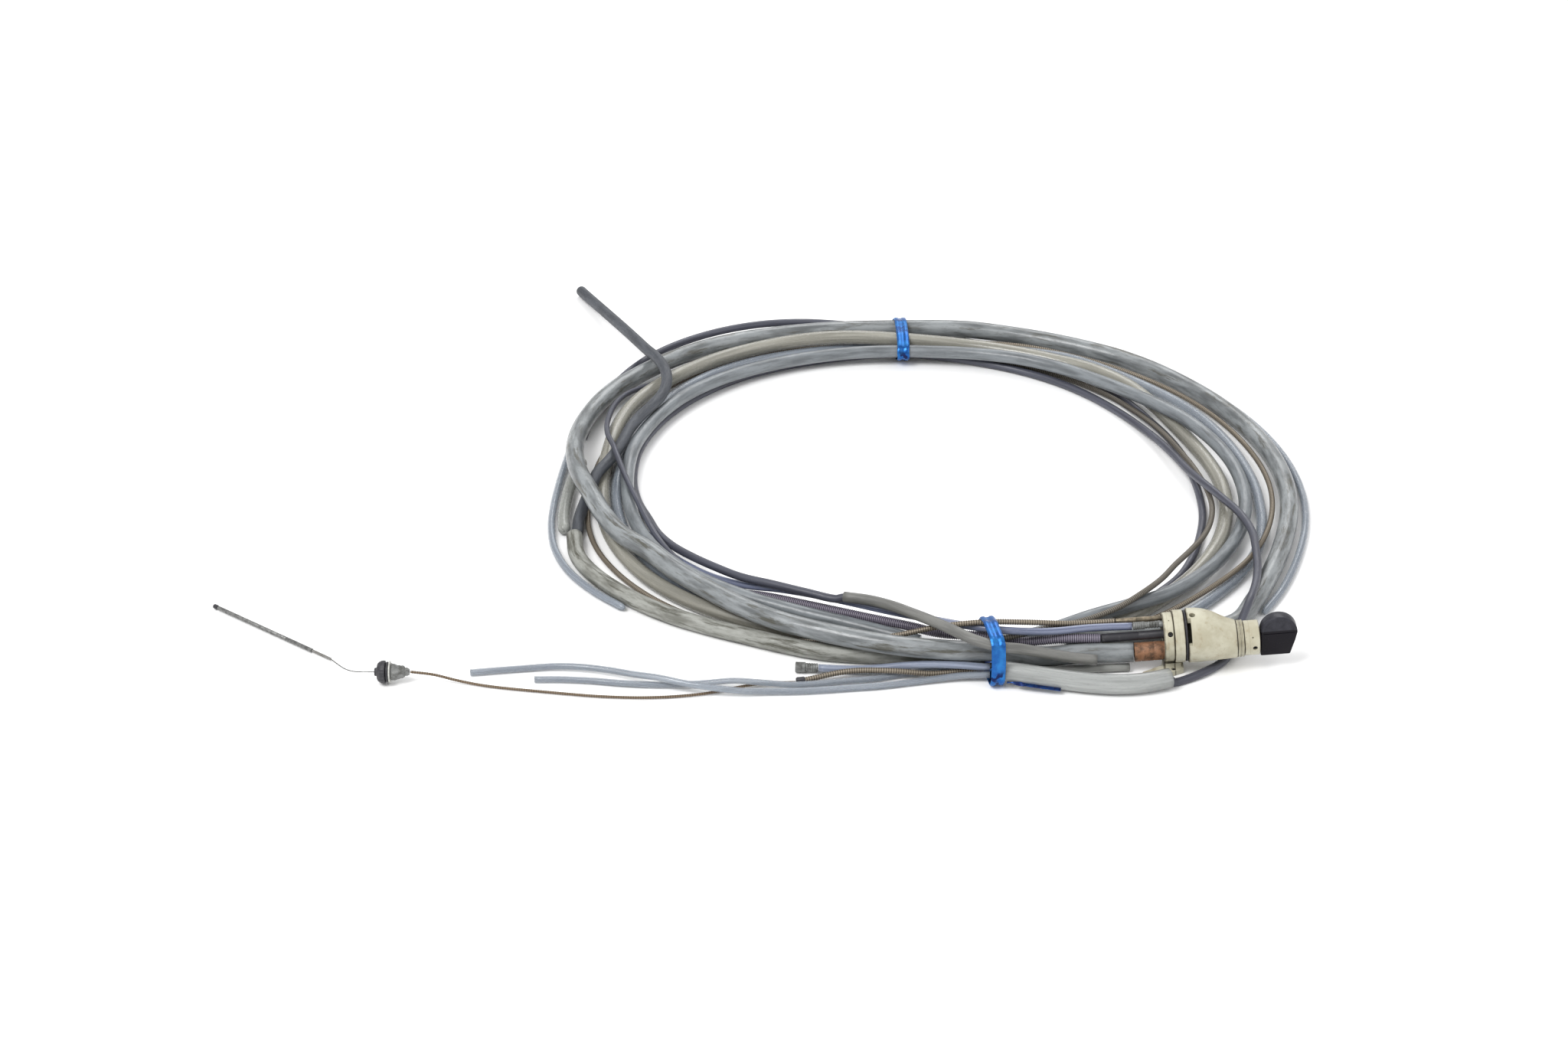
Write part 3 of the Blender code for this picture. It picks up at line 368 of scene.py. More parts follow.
def blue_foil():
    """Crinkled metallic film, with navy patches of painted dark reflection low on the band."""
    paint = Paint("blue_foil", (0.02, 0.16, 0.50), 0.24, 0.75)
    crinkle = paint.noise(paint.place(), 230.0, 3.0, 0.5)
    dark_reflection_patch = paint.noise(paint.place(), 150.0, 2.0)
    _, _, height = paint.split(paint.place())
    low = paint.step(height, 0.0125, 0.0085)
    colour = paint.mix(paint.step(crinkle, 0.38, 0.72, 0.8), (0.012, 0.095, 0.34),
                       (0.03, 0.21, 0.55))
    # painted reflection: navy patches low on the band
    colour = paint.mix(paint.step(dark_reflection_patch, 0.50, 0.57, 0.92) * low, colour, (0.004, 0.006, 0.055))
    paint.put("Base Color", colour)
    paint.put("Roughness", paint.step(crinkle, 0.3, 0.7, 0.2) + 0.24)
    paint.bump(crinkle, 0.0004, 0.5)
    return paint


CREAM = aged_cream()
KNOB = knob_black()
RUBBER = rubber("black_rubber", (0.022, 0.021, 0.026))
SCREW = worn_metal("blackened_steel", (0.035, 0.034, 0.034), (0.015, 0.014, 0.013), 0.45, 0.6)
STEEL = worn_metal("dull_steel", (0.30, 0.295, 0.285), (0.15, 0.14, 0.125), 0.42)
CRIMP = worn_metal("grey_crimp", (0.21, 0.215, 0.21), (0.085, 0.085, 0.078), 0.55, 0.5)
ROD_STEEL = worn_metal("rod_steel", (0.22, 0.22, 0.215), (0.10, 0.10, 0.098), 0.42, 0.7, 600.0)
BRASS = worn_metal("dull_brass", (0.26, 0.215, 0.15), (0.10, 0.085, 0.062), 0.45, 0.6)
COPPER = worn_metal("stained_copper", (0.30, 0.15, 0.08), (0.075, 0.048, 0.032), 0.55, 0.3, 220.0)
WASHER = worn_metal("pale_washer", (0.50, 0.50, 0.47), (0.25, 0.25, 0.23), 0.5, 0.0, 500.0)
FOIL = blue_foil()
NAVY = worn_metal("navy_foil", (0.012, 0.055, 0.22), (0.006, 0.012, 0.07), 0.3, 0.7, 300.0)


# ---------------------------------------------------------------- places on the head
HEAD = (
    Matrix.Translation(Vector(HEAD_AT) * MM)
    @ Matrix.Rotation(-math.radians(HEAD_PITCH), 4, "Y")
)


def head_point(s, y, z):
    v = Matrix.Rotation(-math.radians(HEAD_PITCH), 3, "Y") @ Vector((s, y, z))
    return np.array([v.x + HEAD_AT[0], v.y + HEAD_AT[1], v.z + HEAD_AT[2]])


def lowered(drop):
    """A move down the head, square to its axis."""
    return HEAD @ Matrix.Translation(Vector((0, 0, -drop)) * MM) @ HEAD.inverted()


def radial(s, y, z):
    """A frame on the head's skin: local X points out along (y, z)."""
    out = Vector((0, y, z)).normalized()
    side = Vector((1, 0, 0))
    third = out.cross(side)
    basis = Matrix((out, side, third)).transposed().to_4x4()
    return HEAD @ Matrix.Translation(Vector((s, 0, 0)) * MM) @ basis


# ---------------------------------------------------------------- routes of the lines
def ring(theta, r, z):
    a = math.radians(theta)
    return (COIL[0] + r * math.cos(a), COIL[1] + r * math.sin(a), z)


def around(*keys, step=6.0):
    """Keys (degrees, radius, height) carried round the coil by a smooth curve."""
    keys = np.array(keys, float)
    t = np.abs(np.diff(keys[:, 0], prepend=keys[0, 0])).cumsum()
    slope = np.gradient(keys[:, 1:], t, axis=0)
    out = []
    for k in range(len(keys) - 1):
        h = t[k + 1] - t[k]
        n = max(1, round(h / step))
        for i in range(n):
            u = i / n
            a = (1 + 2 * u) * (1 - u) ** 2 * keys[k, 1:] + u * (1 - u) ** 2 * h * slope[k]
            b = u * u * (3 - 2 * u) * keys[k + 1, 1:] + u * u * (u - 1) * h * slope[k + 1]
            angle = keys[k, 0] + (keys[k + 1, 0] - keys[k, 0]) * u
            out.append(ring(angle, *(a + b)))
    out.append(ring(*keys[-1]))
    return out


def smooth(points, spacing):
    """Even points along a smooth curve through the given ones."""
    p = np.array(points, float)
    p = np.vstack([2 * p[0] - p[1], p, 2 * p[-1] - p[-2]])
    dense = []
    for k in range(1, len(p) - 2):
        a, b, c, d = p[k - 1], p[k], p[k + 1], p[k + 2]
        ta, tb, tc = (max(np.linalg.norm(v), 1e-6) ** 0.5 for v in (b - a, c - b, d - c))
        m1 = (c - b) + tb * ((b - a) / ta - (c - a) / (ta + tb))
        m2 = (c - b) + tb * ((d - c) / tc - (d - b) / (tb + tc))
        for i in range(16):
            u = i / 16
            dense.append(
                (2 * u**3 - 3 * u * u + 1) * b + (u**3 - 2 * u * u + u) * m1
                + (3 * u * u - 2 * u**3) * c + (u**3 - u * u) * m2
            )
    dense.append(p[-2])
    dense = np.array(dense)
    run = np.concatenate([[0], np.linalg.norm(np.diff(dense, axis=0), axis=1).cumsum()])
    n = max(2, round(run[-1] / spacing))
    want = np.linspace(0, run[-1], n + 1)
    return np.stack([np.interp(want, run, dense[:, i]) for i in range(3)], axis=1)


COPPER_AT = (-3.8, -5.2)
BOOT_AT = (0.6, 1.5)
CRIMP_AT = (2.6, 6.0)
BRONZE_AT = (6.4, 7.2)


def out_of_head(start, offset, reach=10.0):
    return [head_point(start, *offset), head_point(start - reach, *offset)]


# name: (radius, spacing, how readily it gives way, points)
LINES = {
    "milky_tube": (5.0, 23, 0.25, [
        *out_of_head(-14.8, COPPER_AT, 12), (-41, 11, 8.5), (-62, 11.5, 10.5),
        *around((278, 173, 15), (270, 171, 15.5), (262, 169, 16), (254, 167, 16), (246, 165, 16),
                (238, 163.5, 16), (228, 161, 16), (217, 161, 16), (208, 163, 16),
                (199, 171, 16), (189, 175, 16), (182, 181, 16), (175, 187, 15), (161, 197, 11),
                (149, 203, 9), (130, 204, 8), (115, 198, 8), (90, 188, 8), (64, 192, 8),
                (50, 197, 7), (35, 197, 6), (18, 197, 6), (0, 196, 6), (-16, 194, 6),
                (-26, 195, 6), (-34, 198, 6)),
        (43, 46, 6), (22, 37, 6), (0, 34, 6), (-22, 31, 6), (-45, 28, 7)]),
    "inner_milky_tube": (3.6, 23, 0.6, [
        *around((-78, 159, 12), (-63, 160, 12), (-52, 161, 10), (-44, 163, 8), (-35, 164, 7),
                (-19, 167, 6), (-3, 170, 6), (12, 168, 7), (27, 161, 8), (40, 157, 9),
                (69, 159, 10), (85, 158, 10), (110, 162, 10), (140, 167, 9), (160, 164, 7),
                (176, 160, 6), (190, 158, 7), (205, 158, 9), (218, 156, 11), (234, 151, 12),
                (250, 149, 12), (260, 152, 11), (267, 157, 10))]),
    "stained_sleeve": (4.3, 20, 0.3, [
        *around((194.5, 191, 4.6), (202, 195, 4.6), (208, 193, 4.6), (216, 189, 4.6),
                (224, 184, 4.6), (233, 178, 4.6), (241, 174.5, 4.6), (248, 174, 4.6),
                (255, 173, 4.6), (263, 170, 4.6), (272, 170, 5), (278.6, 172, 6.3))]),
    "grey_hose": (3.1, 13, 0.4, [
        (-306, 429, 3.3), (-290, 394, 9), (-275, 357, 15.5), (-260, 321, 20), (-251, 302, 21),
        (-247, 285, 19), (-249, 270, 16), (-256, 254, 14), (-263, 239, 12), (-269, 219, 10),
        (-276, 196, 8), (-281, 184, 7), (-288, 162, 5), (-291.5, 148, 4.8), (-293, 134.5, 4.6)]),
    "slate_cable": (2.1, 19, 0.5, [
        (7.4, -7.6, 4.1), (18.5, 0.6, 2.5), (30, 13, 2.3), (37, 24, 3), (44, 37, 10), (49, 48, 14),
        *around((-32, 195, 13), (-25, 186, 11), (-17, 177, 10), (-11, 167, 10), (-5, 156, 10),
                (4, 147, 8), (18, 144, 6), (30, 146, 4), (45, 151, 3), (60, 157, 3), (80, 163, 3),
                (100, 167, 3), (125, 170, 3), (150, 167, 3), (165, 163, 3), (180, 156, 3),
                (190, 150, 5), (200, 148, 8), (210, 145, 12), (218, 143, 15), (227, 141, 17),
                (235, 138.5, 19), (243, 138, 20.5), (250.4, 138.5, 21.5))]),
    "slate_cable_2": (2.1, 22, 0.8, [
        *around((-66, 164, 3), (-45, 163, 3), (-33, 162, 3), (-26, 159, 3.5), (-18, 156, 3.5),
                (-6, 153, 3), (2, 151, 3), (16, 152, 3), (33, 155, 3), (42, 160, 3),
                (52, 168, 3), (75, 178, 4), (95, 192, 6), (113, 211, 10), (122, 217, 10),
                (133, 218, 9), (142, 214, 8), (152, 206, 6), (161, 199, 4))]),
    "thin_slate_loop": (1.5, 14, 0.8, [
        *around((112, 200, 2), (125, 200, 2), (135, 196, 3), (141, 192, 6), (147, 192, 9),
                (152, 190, 10), (158, 185, 10), (164, 179, 10), (169, 172, 10), (175, 165, 10),
                (182, 159, 10), (189, 155, 10), (197, 153, 10), (210, 151, 11), (225, 150, 12),
                (238, 150, 12))]),
    "ribbed_conduit": (2.5, 20, 0.5, [
        *out_of_head(-30.4, BOOT_AT, 10), (-56, 15, 14.5), (-74, 17, 15),
        *around((279, 163.5, 17), (274, 159.5, 16.5), (267, 150, 16), (260, 144, 15.5),
                (252, 140, 15), (244, 138.5, 14), (236, 139.5, 13), (228, 144, 10),
                (216, 148, 5), (204, 151, 3.5))]),
    "air_tube": (1.9, 20, 0.5, [
        *out_of_head(-14.6, CRIMP_AT, 12), (-50, 16.5, 19.5), (-74, 17, 19.5),
        *around((279, 163.5, 21.5), (273, 155, 21), (265, 145, 20), (259, 140.5, 19.5),
                (251, 136.5, 19), (243, 135.5, 18), (235, 138, 16.5), (226, 142, 12),
                (208, 148, 8), (196, 151, 5))]),
    "release_conduit": (1.5, 22, 0.8, [
        *out_of_head(-22.6, BRONZE_AT, 12), (-56, 17, 21), (-75, 17, 21),
        *around((268, 161, 18), (258, 162, 10), (240, 167, 4), (215, 178, 3), (195, 182, 2),
                (175, 178, 2), (160, 178, 2), (140, 186, 2), (120, 188, 2), (100, 178, 3),
                (85, 176, 4), (71, 179, 5), (52, 185, 5), (34, 188, 5), (18, 188, 5),
                (1, 188, 5), (-16, 186, 5), (-27, 184, 5), (-39, 179, 5), (-50, 174, 4),
                (-62, 170, 3), (-70, 174, 3), (-78, 178, 3), (-88, 180, 2),
                (-98, 184, 2)),
        (-152, -1.5, 1.8), (-172, -4.4, 1.8)]),
    "brown_conduit": (1.6, 20, 0.7, [
        *around((-84, 168, 17), (-76, 169, 15), (-68, 170, 13), (-60, 169, 11), (-48, 164, 9),
                (-35, 156, 9), (-20, 156, 9), (-8, 155, 9), (3, 152, 9), (14, 150, 8),
                (24, 151, 8), (34, 154, 7), (48, 160, 5), (62, 164, 4), (76, 166, 4),
                (94, 167, 5))]),
    "middle_clear_tube": (3.0, 24, 0.8, [
        *around((-50, 176, 4), (-32, 179, 4), (-21, 182, 4), (-4, 180, 4), (13, 179, 4),
                (32, 179, 4), (47, 175, 4), (65, 172, 4), (90, 170, 5), (110, 176, 4),
                (130, 180, 4), (150, 174, 4), (168, 168, 4), (185, 166, 4), (205, 164, 4),
                (225, 160, 3.6), (238, 157, 3.6))]),
    "outer_clear_tube": (2.0, 24, 0.9, [
        *around((-36, 203, 2.2), (-20, 201, 2.2), (0, 203, 2.2), (20, 204, 2.2), (40, 204, 2.4),
                (60, 203, 4), (80, 199, 5), (100, 202, 5), (118, 211, 5), (133, 214, 5),
                (150, 209, 4), (162, 199, 3), (172, 195, 2.4), (179, 195.5, 2.4),
                (186, 197.5, 2.4), (193, 200.5, 2.4), (199, 201.5, 2.4), (205, 200.5, 2.4),
                (211, 197, 2.4), (217, 193, 2.4))]),
    "wide_clear_sleeve": (3.4, 16, 0.9, [
        *around((169, 187, 3.6), (176, 188.5, 3.6), (183, 190.3, 3.6), (188, 192.3, 3.6),
                (192.6, 194, 3.6))]),
    "pale_tube": (4.0, 24, 0.8, [
        *around((-56, 163, 4.2), (-30, 163, 4.2), (0, 162, 4.2), (20, 160, 4.2), (45, 166, 4.2),
                (70, 166, 4.2), (90, 168, 5), (115, 184, 4.2), (135, 190, 4.2), (150, 189, 4.2),
                (165, 182, 4.2), (180, 177, 4.2), (197, 176, 4.2), (215, 173, 4.2),
                (235, 166, 4.2), (250, 163, 4.2), (262, 163, 4.2))]),
    "grey_sleeve": (2.7, 13, 0.5, [
        *around((251.6, 138.3, 21.5), (259, 140.5, 22.5)), (-118.5, 28.5, 23.5), (-99.5, 10.5, 25),
        (-83.5, -1.5, 24.5), (-65.5, 4.5, 18), (-49, 8, 12.5), (-38, 9, 10), (-29, 9, 9)]),
    "short_grey_sleeve": (2.0, 14, 0.8, [
        (-70, 2, 4), (-55, 4, 3), (-35, 5, 2.3), (-12, 6.5, 2.2)]),
    "clear_sleeve": (5.0, 14, 0.3, [
        (6.2, -8.1, 5.2), (-3, -11.3, 5.2), (-12.2, -13.2, 5.2), (-27, -13.4, 5.2),
        (-41.8, -10.5, 5.2), (-52.9, -8.4, 5.2), (-66, -6, 5.8), (-76, -4, 7)]),
    "clear_tail": (1.7, 14, 0.8, [
        (-337, 2, 1.6), (-316, 5, 1.6), (-297, 7, 1.6), (-285, 6, 1.6), (-273, 3, 1.6),
        (-254, -5, 1.6), (-240, -11, 2.6), (-224, -16, 4.0), (-208, -16.5, 2.6),
        (-190, -15, 1.8), (-172, -14, 1.8), (-154, -11.5, 1.8), (-134, -8.5, 1.8),
        (-117, -4.5, 1.8), (-98, -0.8, 3), (-81, 0, 4)]),
    "short_clear_tail": (1.6, 14, 0.8, [
        (-305, -4, 1.4), (-284, -4, 1.4), (-260, -7, 1.4), (-242, -8, 1.6), (-222, -8, 2.6),
        (-203, -8.5, 4), (-186, -9.5, 2.6), (-172, -9, 1.8), (-154, -6.5, 1.8), (-134, -4, 1.8),
        (-117, -0.5, 1.8), (-98, 3, 3), (-81, 4, 4)]),
    "drain_tube": (1.9, 14, 0.6, [
        (-165.5, 4.8, 2.8), (-151, 3.8, 2.7), (-140, 3.8, 2.4), (-128, 4.2, 2.4),
        (-117, 4.9, 2.6), (-100, 5.4, 4), (-81, 7, 6)]),
    "tail_conduit": (0.75, 11, 0.5, [
        (-176.9, -5.2, 1.6), (-193, -6.4, 1.0), (-211, -12, 1.0), (-223, -16, 1.0),
        (-247, -19, 1.0), (-272, -18, 1.0), (-296, -14.5, 1.0), (-322, -10, 1.0),
        (-337, -6.5, 1.6), (-350, -4.4, 3.6), (-358, -4, 5.3), (FIT_X + 0.4, FIT_Y, FIT_Z)]),
}
# Pairs that meet end to end, and lines that end in the head.
MEET = {
    ("grey_hose", "stained_sleeve"), ("slate_cable", "grey_sleeve"),
    ("slate_cable", "clear_sleeve"), ("release_conduit", "tail_conduit"),
}
HEAD_LINES = ("milky_tube", "ribbed_conduit", "air_tube", "release_conduit")
# Straight stretches that nothing may enter: the bell, the collar and knob, the clip, ferrules.
BLOCKS = {
    "block_bell": (13.9, [head_point(1, 0, 0), head_point(14, 0, 0), head_point(34, 0, 0)]),
    "block_collar": (10.2, [head_point(38, 0, -4), head_point(50, 0, -4), head_point(64, 0, -4)]),
    "block_clip": (2.2, [(-4, 0.5, 0.5), (3, 2, 0.5), (10, 6, 0.5)]),
    "block_copper": (5.2, [head_point(0, *COPPER_AT), head_point(-14, *COPPER_AT)]),
    "block_boot": (2.9, [head_point(0, *BOOT_AT), head_point(-29.5, *BOOT_AT)]),
    "block_crimp": (2.6, [head_point(0, *CRIMP_AT), head_point(-14, *CRIMP_AT)]),
    "block_bronze": (2.0, [head_point(0, *BRONZE_AT), head_point(-22, *BRONZE_AT)]),
    "block_drain_ferrule": (2.9, [(-166.5, 4.8, 2.6), (-177, 6.2, 2.6)]),
}


def closest(p1, q1, p2, q2):
    """Nearest points of many pairs of segments."""
    d1, d2, r = q1 - p1, q2 - p2, p1 - p2
    a = (d1 * d1).sum(1)
    e = (d2 * d2).sum(1)
    f = (d2 * r).sum(1)
    c = (d1 * r).sum(1)
    b = (d1 * d2).sum(1)
    denom = a * e - b * b
    s = np.clip(np.where(denom > 1e-9, (b * f - c * e) / np.maximum(denom, 1e-9), 0.5), 0, 1)
    t = (b * s + f) / e
    tc = np.clip(t, 0, 1)
    s = np.where(t != tc, np.clip((b * tc - c) / a, 0, 1), s)
    return s, tc


CLEARANCE = 0.45
FLOOR_GAP = 0.15
ROUNDS = 900
SOFT_ROUNDS = 400              # the rounds in which a pushed line evens out readily
BENT_ROUNDS = 640              # the rounds after which it is only pushed
OVERPUSH = 1.3
TIE_REACH, TIE_RAMP = 26, 14   # how far from a tie the lines are lifted, and over what run


def settle():
    """Push the lines apart until none touches another, a block or the floor."""
    names, pts, rad, wt, line_of = [], [], [], [], []
    first = []
    for name, (r, spacing, weight, points) in LINES.items():
        p = smooth(points, spacing)
        first.append(sum(len(q) for q in pts))
        w = np.full(len(p), weight)
        if name in HEAD_LINES:
            w[:2] = 0
        if name == "tail_conduit":
            w[-2:] = 0
        if name == "drain_tube":
            w[:2] = 0
        names.append(name)
        pts.append(p)
        rad.append(np.full(len(p), r))
        wt.append(w)
        line_of.append(np.full(len(p), len(names) - 1))
    moving = len(names)
    for name, (r, points) in BLOCKS.items():
        first.append(sum(len(q) for q in pts))
        names.append(name)
        pts.append(np.array(points, float))
        rad.append(np.full(len(points), r))
        wt.append(np.zeros(len(points)))
        line_of.append(np.full(len(points), len(names) - 1))
    P = np.concatenate(pts)
    R = np.concatenate(rad)
    W = np.concatenate(wt)
    L = np.concatenate(line_of)
    home = P.copy()
    seg = np.array([i for i in range(len(P) - 1) if L[i] == L[i + 1]])
    last = np.array([i for i in range(len(P)) if i + 1 == len(P) or L[i + 1] != L[i]])
    ends = set(first) | {k + 1 for k in first}
    ends |= {k - back for k in last for back in range(3)}
    inner = np.array([i for i in range(1, len(P) - 1) if L[i - 1] == L[i] == L[i + 1]])
    ia, ib = np.triu_indices(len(seg), 1)
    ia, ib = seg[ia], seg[ib]
    la, lb = L[ia], L[ib]
    keep = (la != lb) & ((la < moving) | (lb < moving))
    for one, two in MEET:
        j, k = names.index(one), names.index(two)
        pair = ((la == j) & (lb == k)) | ((la == k) & (lb == j))
        near = np.isin(ia, list(ends)) & np.isin(ib, list(ends))
        keep &= ~(pair & near)
    heads = [names.index(n) for n in HEAD_LINES]
    blocks = np.arange(moving, len(names))
    own = {"milky_tube": "block_copper", "ribbed_conduit": "block_boot",
           "air_tube": "block_crimp", "release_conduit": "block_bronze"}
    start = {names.index(n): first[names.index(n)] for n in HEAD_LINES}
    for h in heads:
        near = ((la == h) & (ia < start[h] + 3)) | ((lb == h) & (ib < start[h] + 3))
        keep &= ~(near & (np.isin(la, blocks) | np.isin(lb, blocks)))
        k = names.index(own[names[h]])
        keep &= ~(((la == h) & (lb == k)) | ((la == k) & (lb == h)))
    j, k = names.index("drain_tube"), names.index("block_drain_ferrule")
    keep &= ~(((la == j) & (lb == k)) | ((la == k) & (lb == j)))
    ia, ib = ia[keep], ib[keep]
    tie_x = [ring(t, 1, 0) for t in TIE_ANGLES.values()]
    tie_dir = [np.array([x - COIL[0], y - COIL[1]]) for x, y, _ in tie_x]
    worst = 0.0
    for it in range(ROUNDS):
        if it % 25 == 0:
            mid = 0.5 * (P[ia] + P[ia + 1]) - 0.5 * (P[ib] + P[ib + 1])
            reach = 0.5 * (np.linalg.norm(P[ia] - P[ia + 1], axis=1)
                           + np.linalg.norm(P[ib] - P[ib + 1], axis=1)) + R[ia] + R[ib] + 5
            near = (mid * mid).sum(1) < reach**2
            a, b = ia[near], ib[near]
        s, t = closest(P[a], P[a + 1], P[b], P[b + 1])
        gap = (P[a] + (P[a + 1] - P[a]) * s[:, None]) - (P[b] + (P[b + 1] - P[b]) * t[:, None])
        dist = np.linalg.norm(gap, axis=1)
        need = R[a] + R[b] + CLEARANCE - dist
        hit = need > 0
        worst = need.max()
        push = np.zeros_like(P)
        count = np.zeros(len(P))
        if hit.any():
            ah, bh, sh, th = a[hit], b[hit], s[hit], t[hit]
            n = gap[hit] / np.maximum(dist[hit], 1e-6)[:, None]
            n[dist[hit] < 1e-3] = (0, 0, 1)
            shares = ((ah, 1 - sh, 1), (ah + 1, sh, 1), (bh, 1 - th, -1), (bh + 1, th, -1))
            total = sum(W[i] * k * k for i, k, _ in shares)
            lam = need[hit] / np.maximum(total, 1e-6)
            lam[total < 1e-6] = 0
            for i, k, sign in shares:
                np.add.at(push, i, n * (lam * W[i] * k * sign)[:, None])
                np.add.at(count, i, (k > 0.02).astype(float))
        P += push / np.maximum(count, 1)[:, None] * OVERPUSH
        if it < BENT_ROUNDS:
            D = P - home
            soft = 0.25 if it < SOFT_ROUNDS else 0.08
            bend = 0.5 * (D[inner - 1] + D[inner + 1]) - D[inner]
            P[inner] += soft * bend * (W[inner] > 0)[:, None]
            P[W > 0, 2] -= 0.01
        floor = R + FLOOR_GAP
        rel = P[:, :2] - np.array(COIL)
        for d in tie_dir:
            along = rel @ d
            side = np.abs(rel[:, 0] * d[1] - rel[:, 1] * d[0])
            lift = np.clip((TIE_REACH - side) / TIE_RAMP, 0, 1) * (along > 0)
            floor = np.maximum(floor, R + FLOOR_GAP + lift * (TIE_LIFT - FLOOR_GAP))
        free = (W > 0) & (P[:, 2] < floor)
        P[free, 2] = floor[free]
    print("settled, worst", round(float(worst), 3))
    return {names[k]: P[L == k] for k in range(moving)}


ROUTES = settle()


# ---------------------------------------------------------------- making pieces
def scratch(name, mesh):
    """An object in the scene that holds a mesh."""
    obj = bpy.data.objects.new(name, mesh)
    SCENE.collection.objects.link(obj)
    return obj


def placed(name, mesh, paint, body="release", stands_for=()):
    """A finished mesh as a piece of the object."""
    obj = scratch(name, mesh)
    mesh.materials.clear()
    mesh.materials.append(paint.mat)
    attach(obj, body)
    if stands_for:
        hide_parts(*stands_for)
    return obj


def baked(obj):
    """An object's mesh with its modifiers in it; the object goes."""
    graph = bpy.context.evaluated_depsgraph_get()
    mesh = bpy.data.meshes.new_from_object(obj.evaluated_get(graph))
    bpy.data.objects.remove(obj, do_unlink=True)
    return mesh


def loose(name, verts, faces, place=None):
    """A scratch object from points in millimetres."""
    mesh = bpy.data.meshes.new(name)
    mesh.from_pydata([tuple(Vector(v) * MM) for v in verts], [], faces)
    if place is not None:
        mesh.transform(place)
    bm = bmesh.new()
    bm.from_mesh(mesh)
    bmesh.ops.remove_doubles(bm, verts=bm.verts, dist=1e-6)
    bmesh.ops.recalc_face_normals(bm, faces=bm.faces)
    bm.to_mesh(mesh)
    bm.free()
    return scratch(name, mesh)


def turned(name, profile, place, sides=96, flute=(0, 0.0, 0.0)):
    """A body turned round X from a closed profile of (along, radius, drop of the centre).
    Flutes are (count, depth as a share of the radius, twist in radians a millimetre)."""
    count, depth, twist = flute
    pts = [(p[0], p[1], p[2] if len(p) > 2 else 0.0) for p in profile]
    verts, faces = [], []
    for x, r, drop in pts:
        for k in range(sides):
            a = 2 * math.pi * k / sides
            wave = 1 - depth * (0.5 - 0.5 * math.cos(count * (a + twist * x)))
            verts.append((x, r * wave * math.cos(a), r * wave * math.sin(a) - drop))
    for j in range(len(pts)):
        nxt = (j + 1) % len(pts)
        if pts[j][1] == 0 and pts[nxt][1] == 0:
            continue
        for k in range(sides):
            kk = (k + 1) % sides
            faces.append([j * sides + k, j * sides + kk, nxt * sides + kk, nxt * sides + k])
    return loose(name, verts, faces, place)


def slab(name, outline, z0, z1, place=None):
    """An outline in XY carried from z0 to z1."""
    n = len(outline)
    verts = [(x, y, z0) for x, y in outline] + [(x, y, z1) for x, y in outline]
    faces = [list(range(n))[::-1], [n + k for k in range(n)]]
    faces += [[k, (k + 1) % n, n + (k + 1) % n, n + k] for k in range(n)]
    return loose(name, verts, faces, place)


def rounded(obj, width, angle=32.0, segments=3):
    """Bevels the edges that are sharper than the angle."""
    mod = obj.modifiers.new("round", "BEVEL")
    mod.width = width * MM
    mod.segments = segments
    mod.limit_method = "ANGLE"
    mod.angle_limit = math.radians(angle)
    mod.use_clamp_overlap = True
    return obj


def joined(obj, other, operation="DIFFERENCE"):
    """Cuts the other object out of this one, or adds it."""
    mod = obj.modifiers.new("join", "BOOLEAN")
    mod.operation = operation
    mod.solver = "EXACT"
    mod.object = other
    other.hide_render = True
    return obj


def piece(name, obj, paint, body="release", sharp=34.0):
    """Bakes a scratch object, shades it and makes it a piece."""
    tools = [mod.object for mod in obj.modifiers if mod.type == "BOOLEAN"]
    mesh = baked(obj)
    for tool in tools:
        bpy.data.objects.remove(tool, do_unlink=True)
    mesh.shade_smooth()
    mesh.set_sharp_from_angle(angle=math.radians(sharp))
    placed(name + "_fine", mesh, paint, body, (name,))


def drop_by(profile):
    """A profile about the collar's axis."""
    return [(s, r, NECK_DROP) for s, r in profile]


# ---------------------------------------------------------------- Geometry Nodes
class Growth(Tree):
    """A Geometry Nodes tree with named inputs, ending in Realize Instances and Set Material."""

    def __init__(self, name, **inputs):
        super().__init__(bpy.data.node_groups.new(name, "GeometryNodeTree"))
        face = self.tree.interface
        face.new_socket("Geometry", in_out="INPUT", socket_type="NodeSocketGeometry")
        face.new_socket("Geometry", in_out="OUTPUT", socket_type="NodeSocketGeometry")
        for label, kind in inputs.items():
            face.new_socket(label, in_out="INPUT", socket_type="NodeSocket" + kind)
        self.start = self.tree.nodes.new("NodeGroupInput")
        self.end = self.tree.nodes.new("NodeGroupOutput")

    def given(self, label):
        return Sock(self, self.start.outputs[label])

    def keep(self, geometry, name, value, kind="FLOAT"):
        settings = {"data_type": kind, "domain": "POINT"}
        values = {"Geometry": geometry, "Name": name, "Value": value}
        return self.add("GeometryNodeStoreNamedAttribute", settings, values)

    def close(self, geometry):
        real = self.add("GeometryNodeRealizeInstances", inputs={"Geometry": geometry})
        values = {"Geometry": real, "Material": self.given("Material")}
        self.fill(self.end.inputs["Geometry"], self.add("GeometryNodeSetMaterial", {}, values))

    def grow(self, base, **values):
        """The plain mesh that the tree makes of a scratch object."""
        mod = base.modifiers.new("grow", "NODES")
        mod.node_group = self.tree
        for item in self.tree.interface.items_tree:
            if item.in_out == "INPUT" and item.name in values:
                mod[item.identifier] = values[item.name]
        return baked(base)


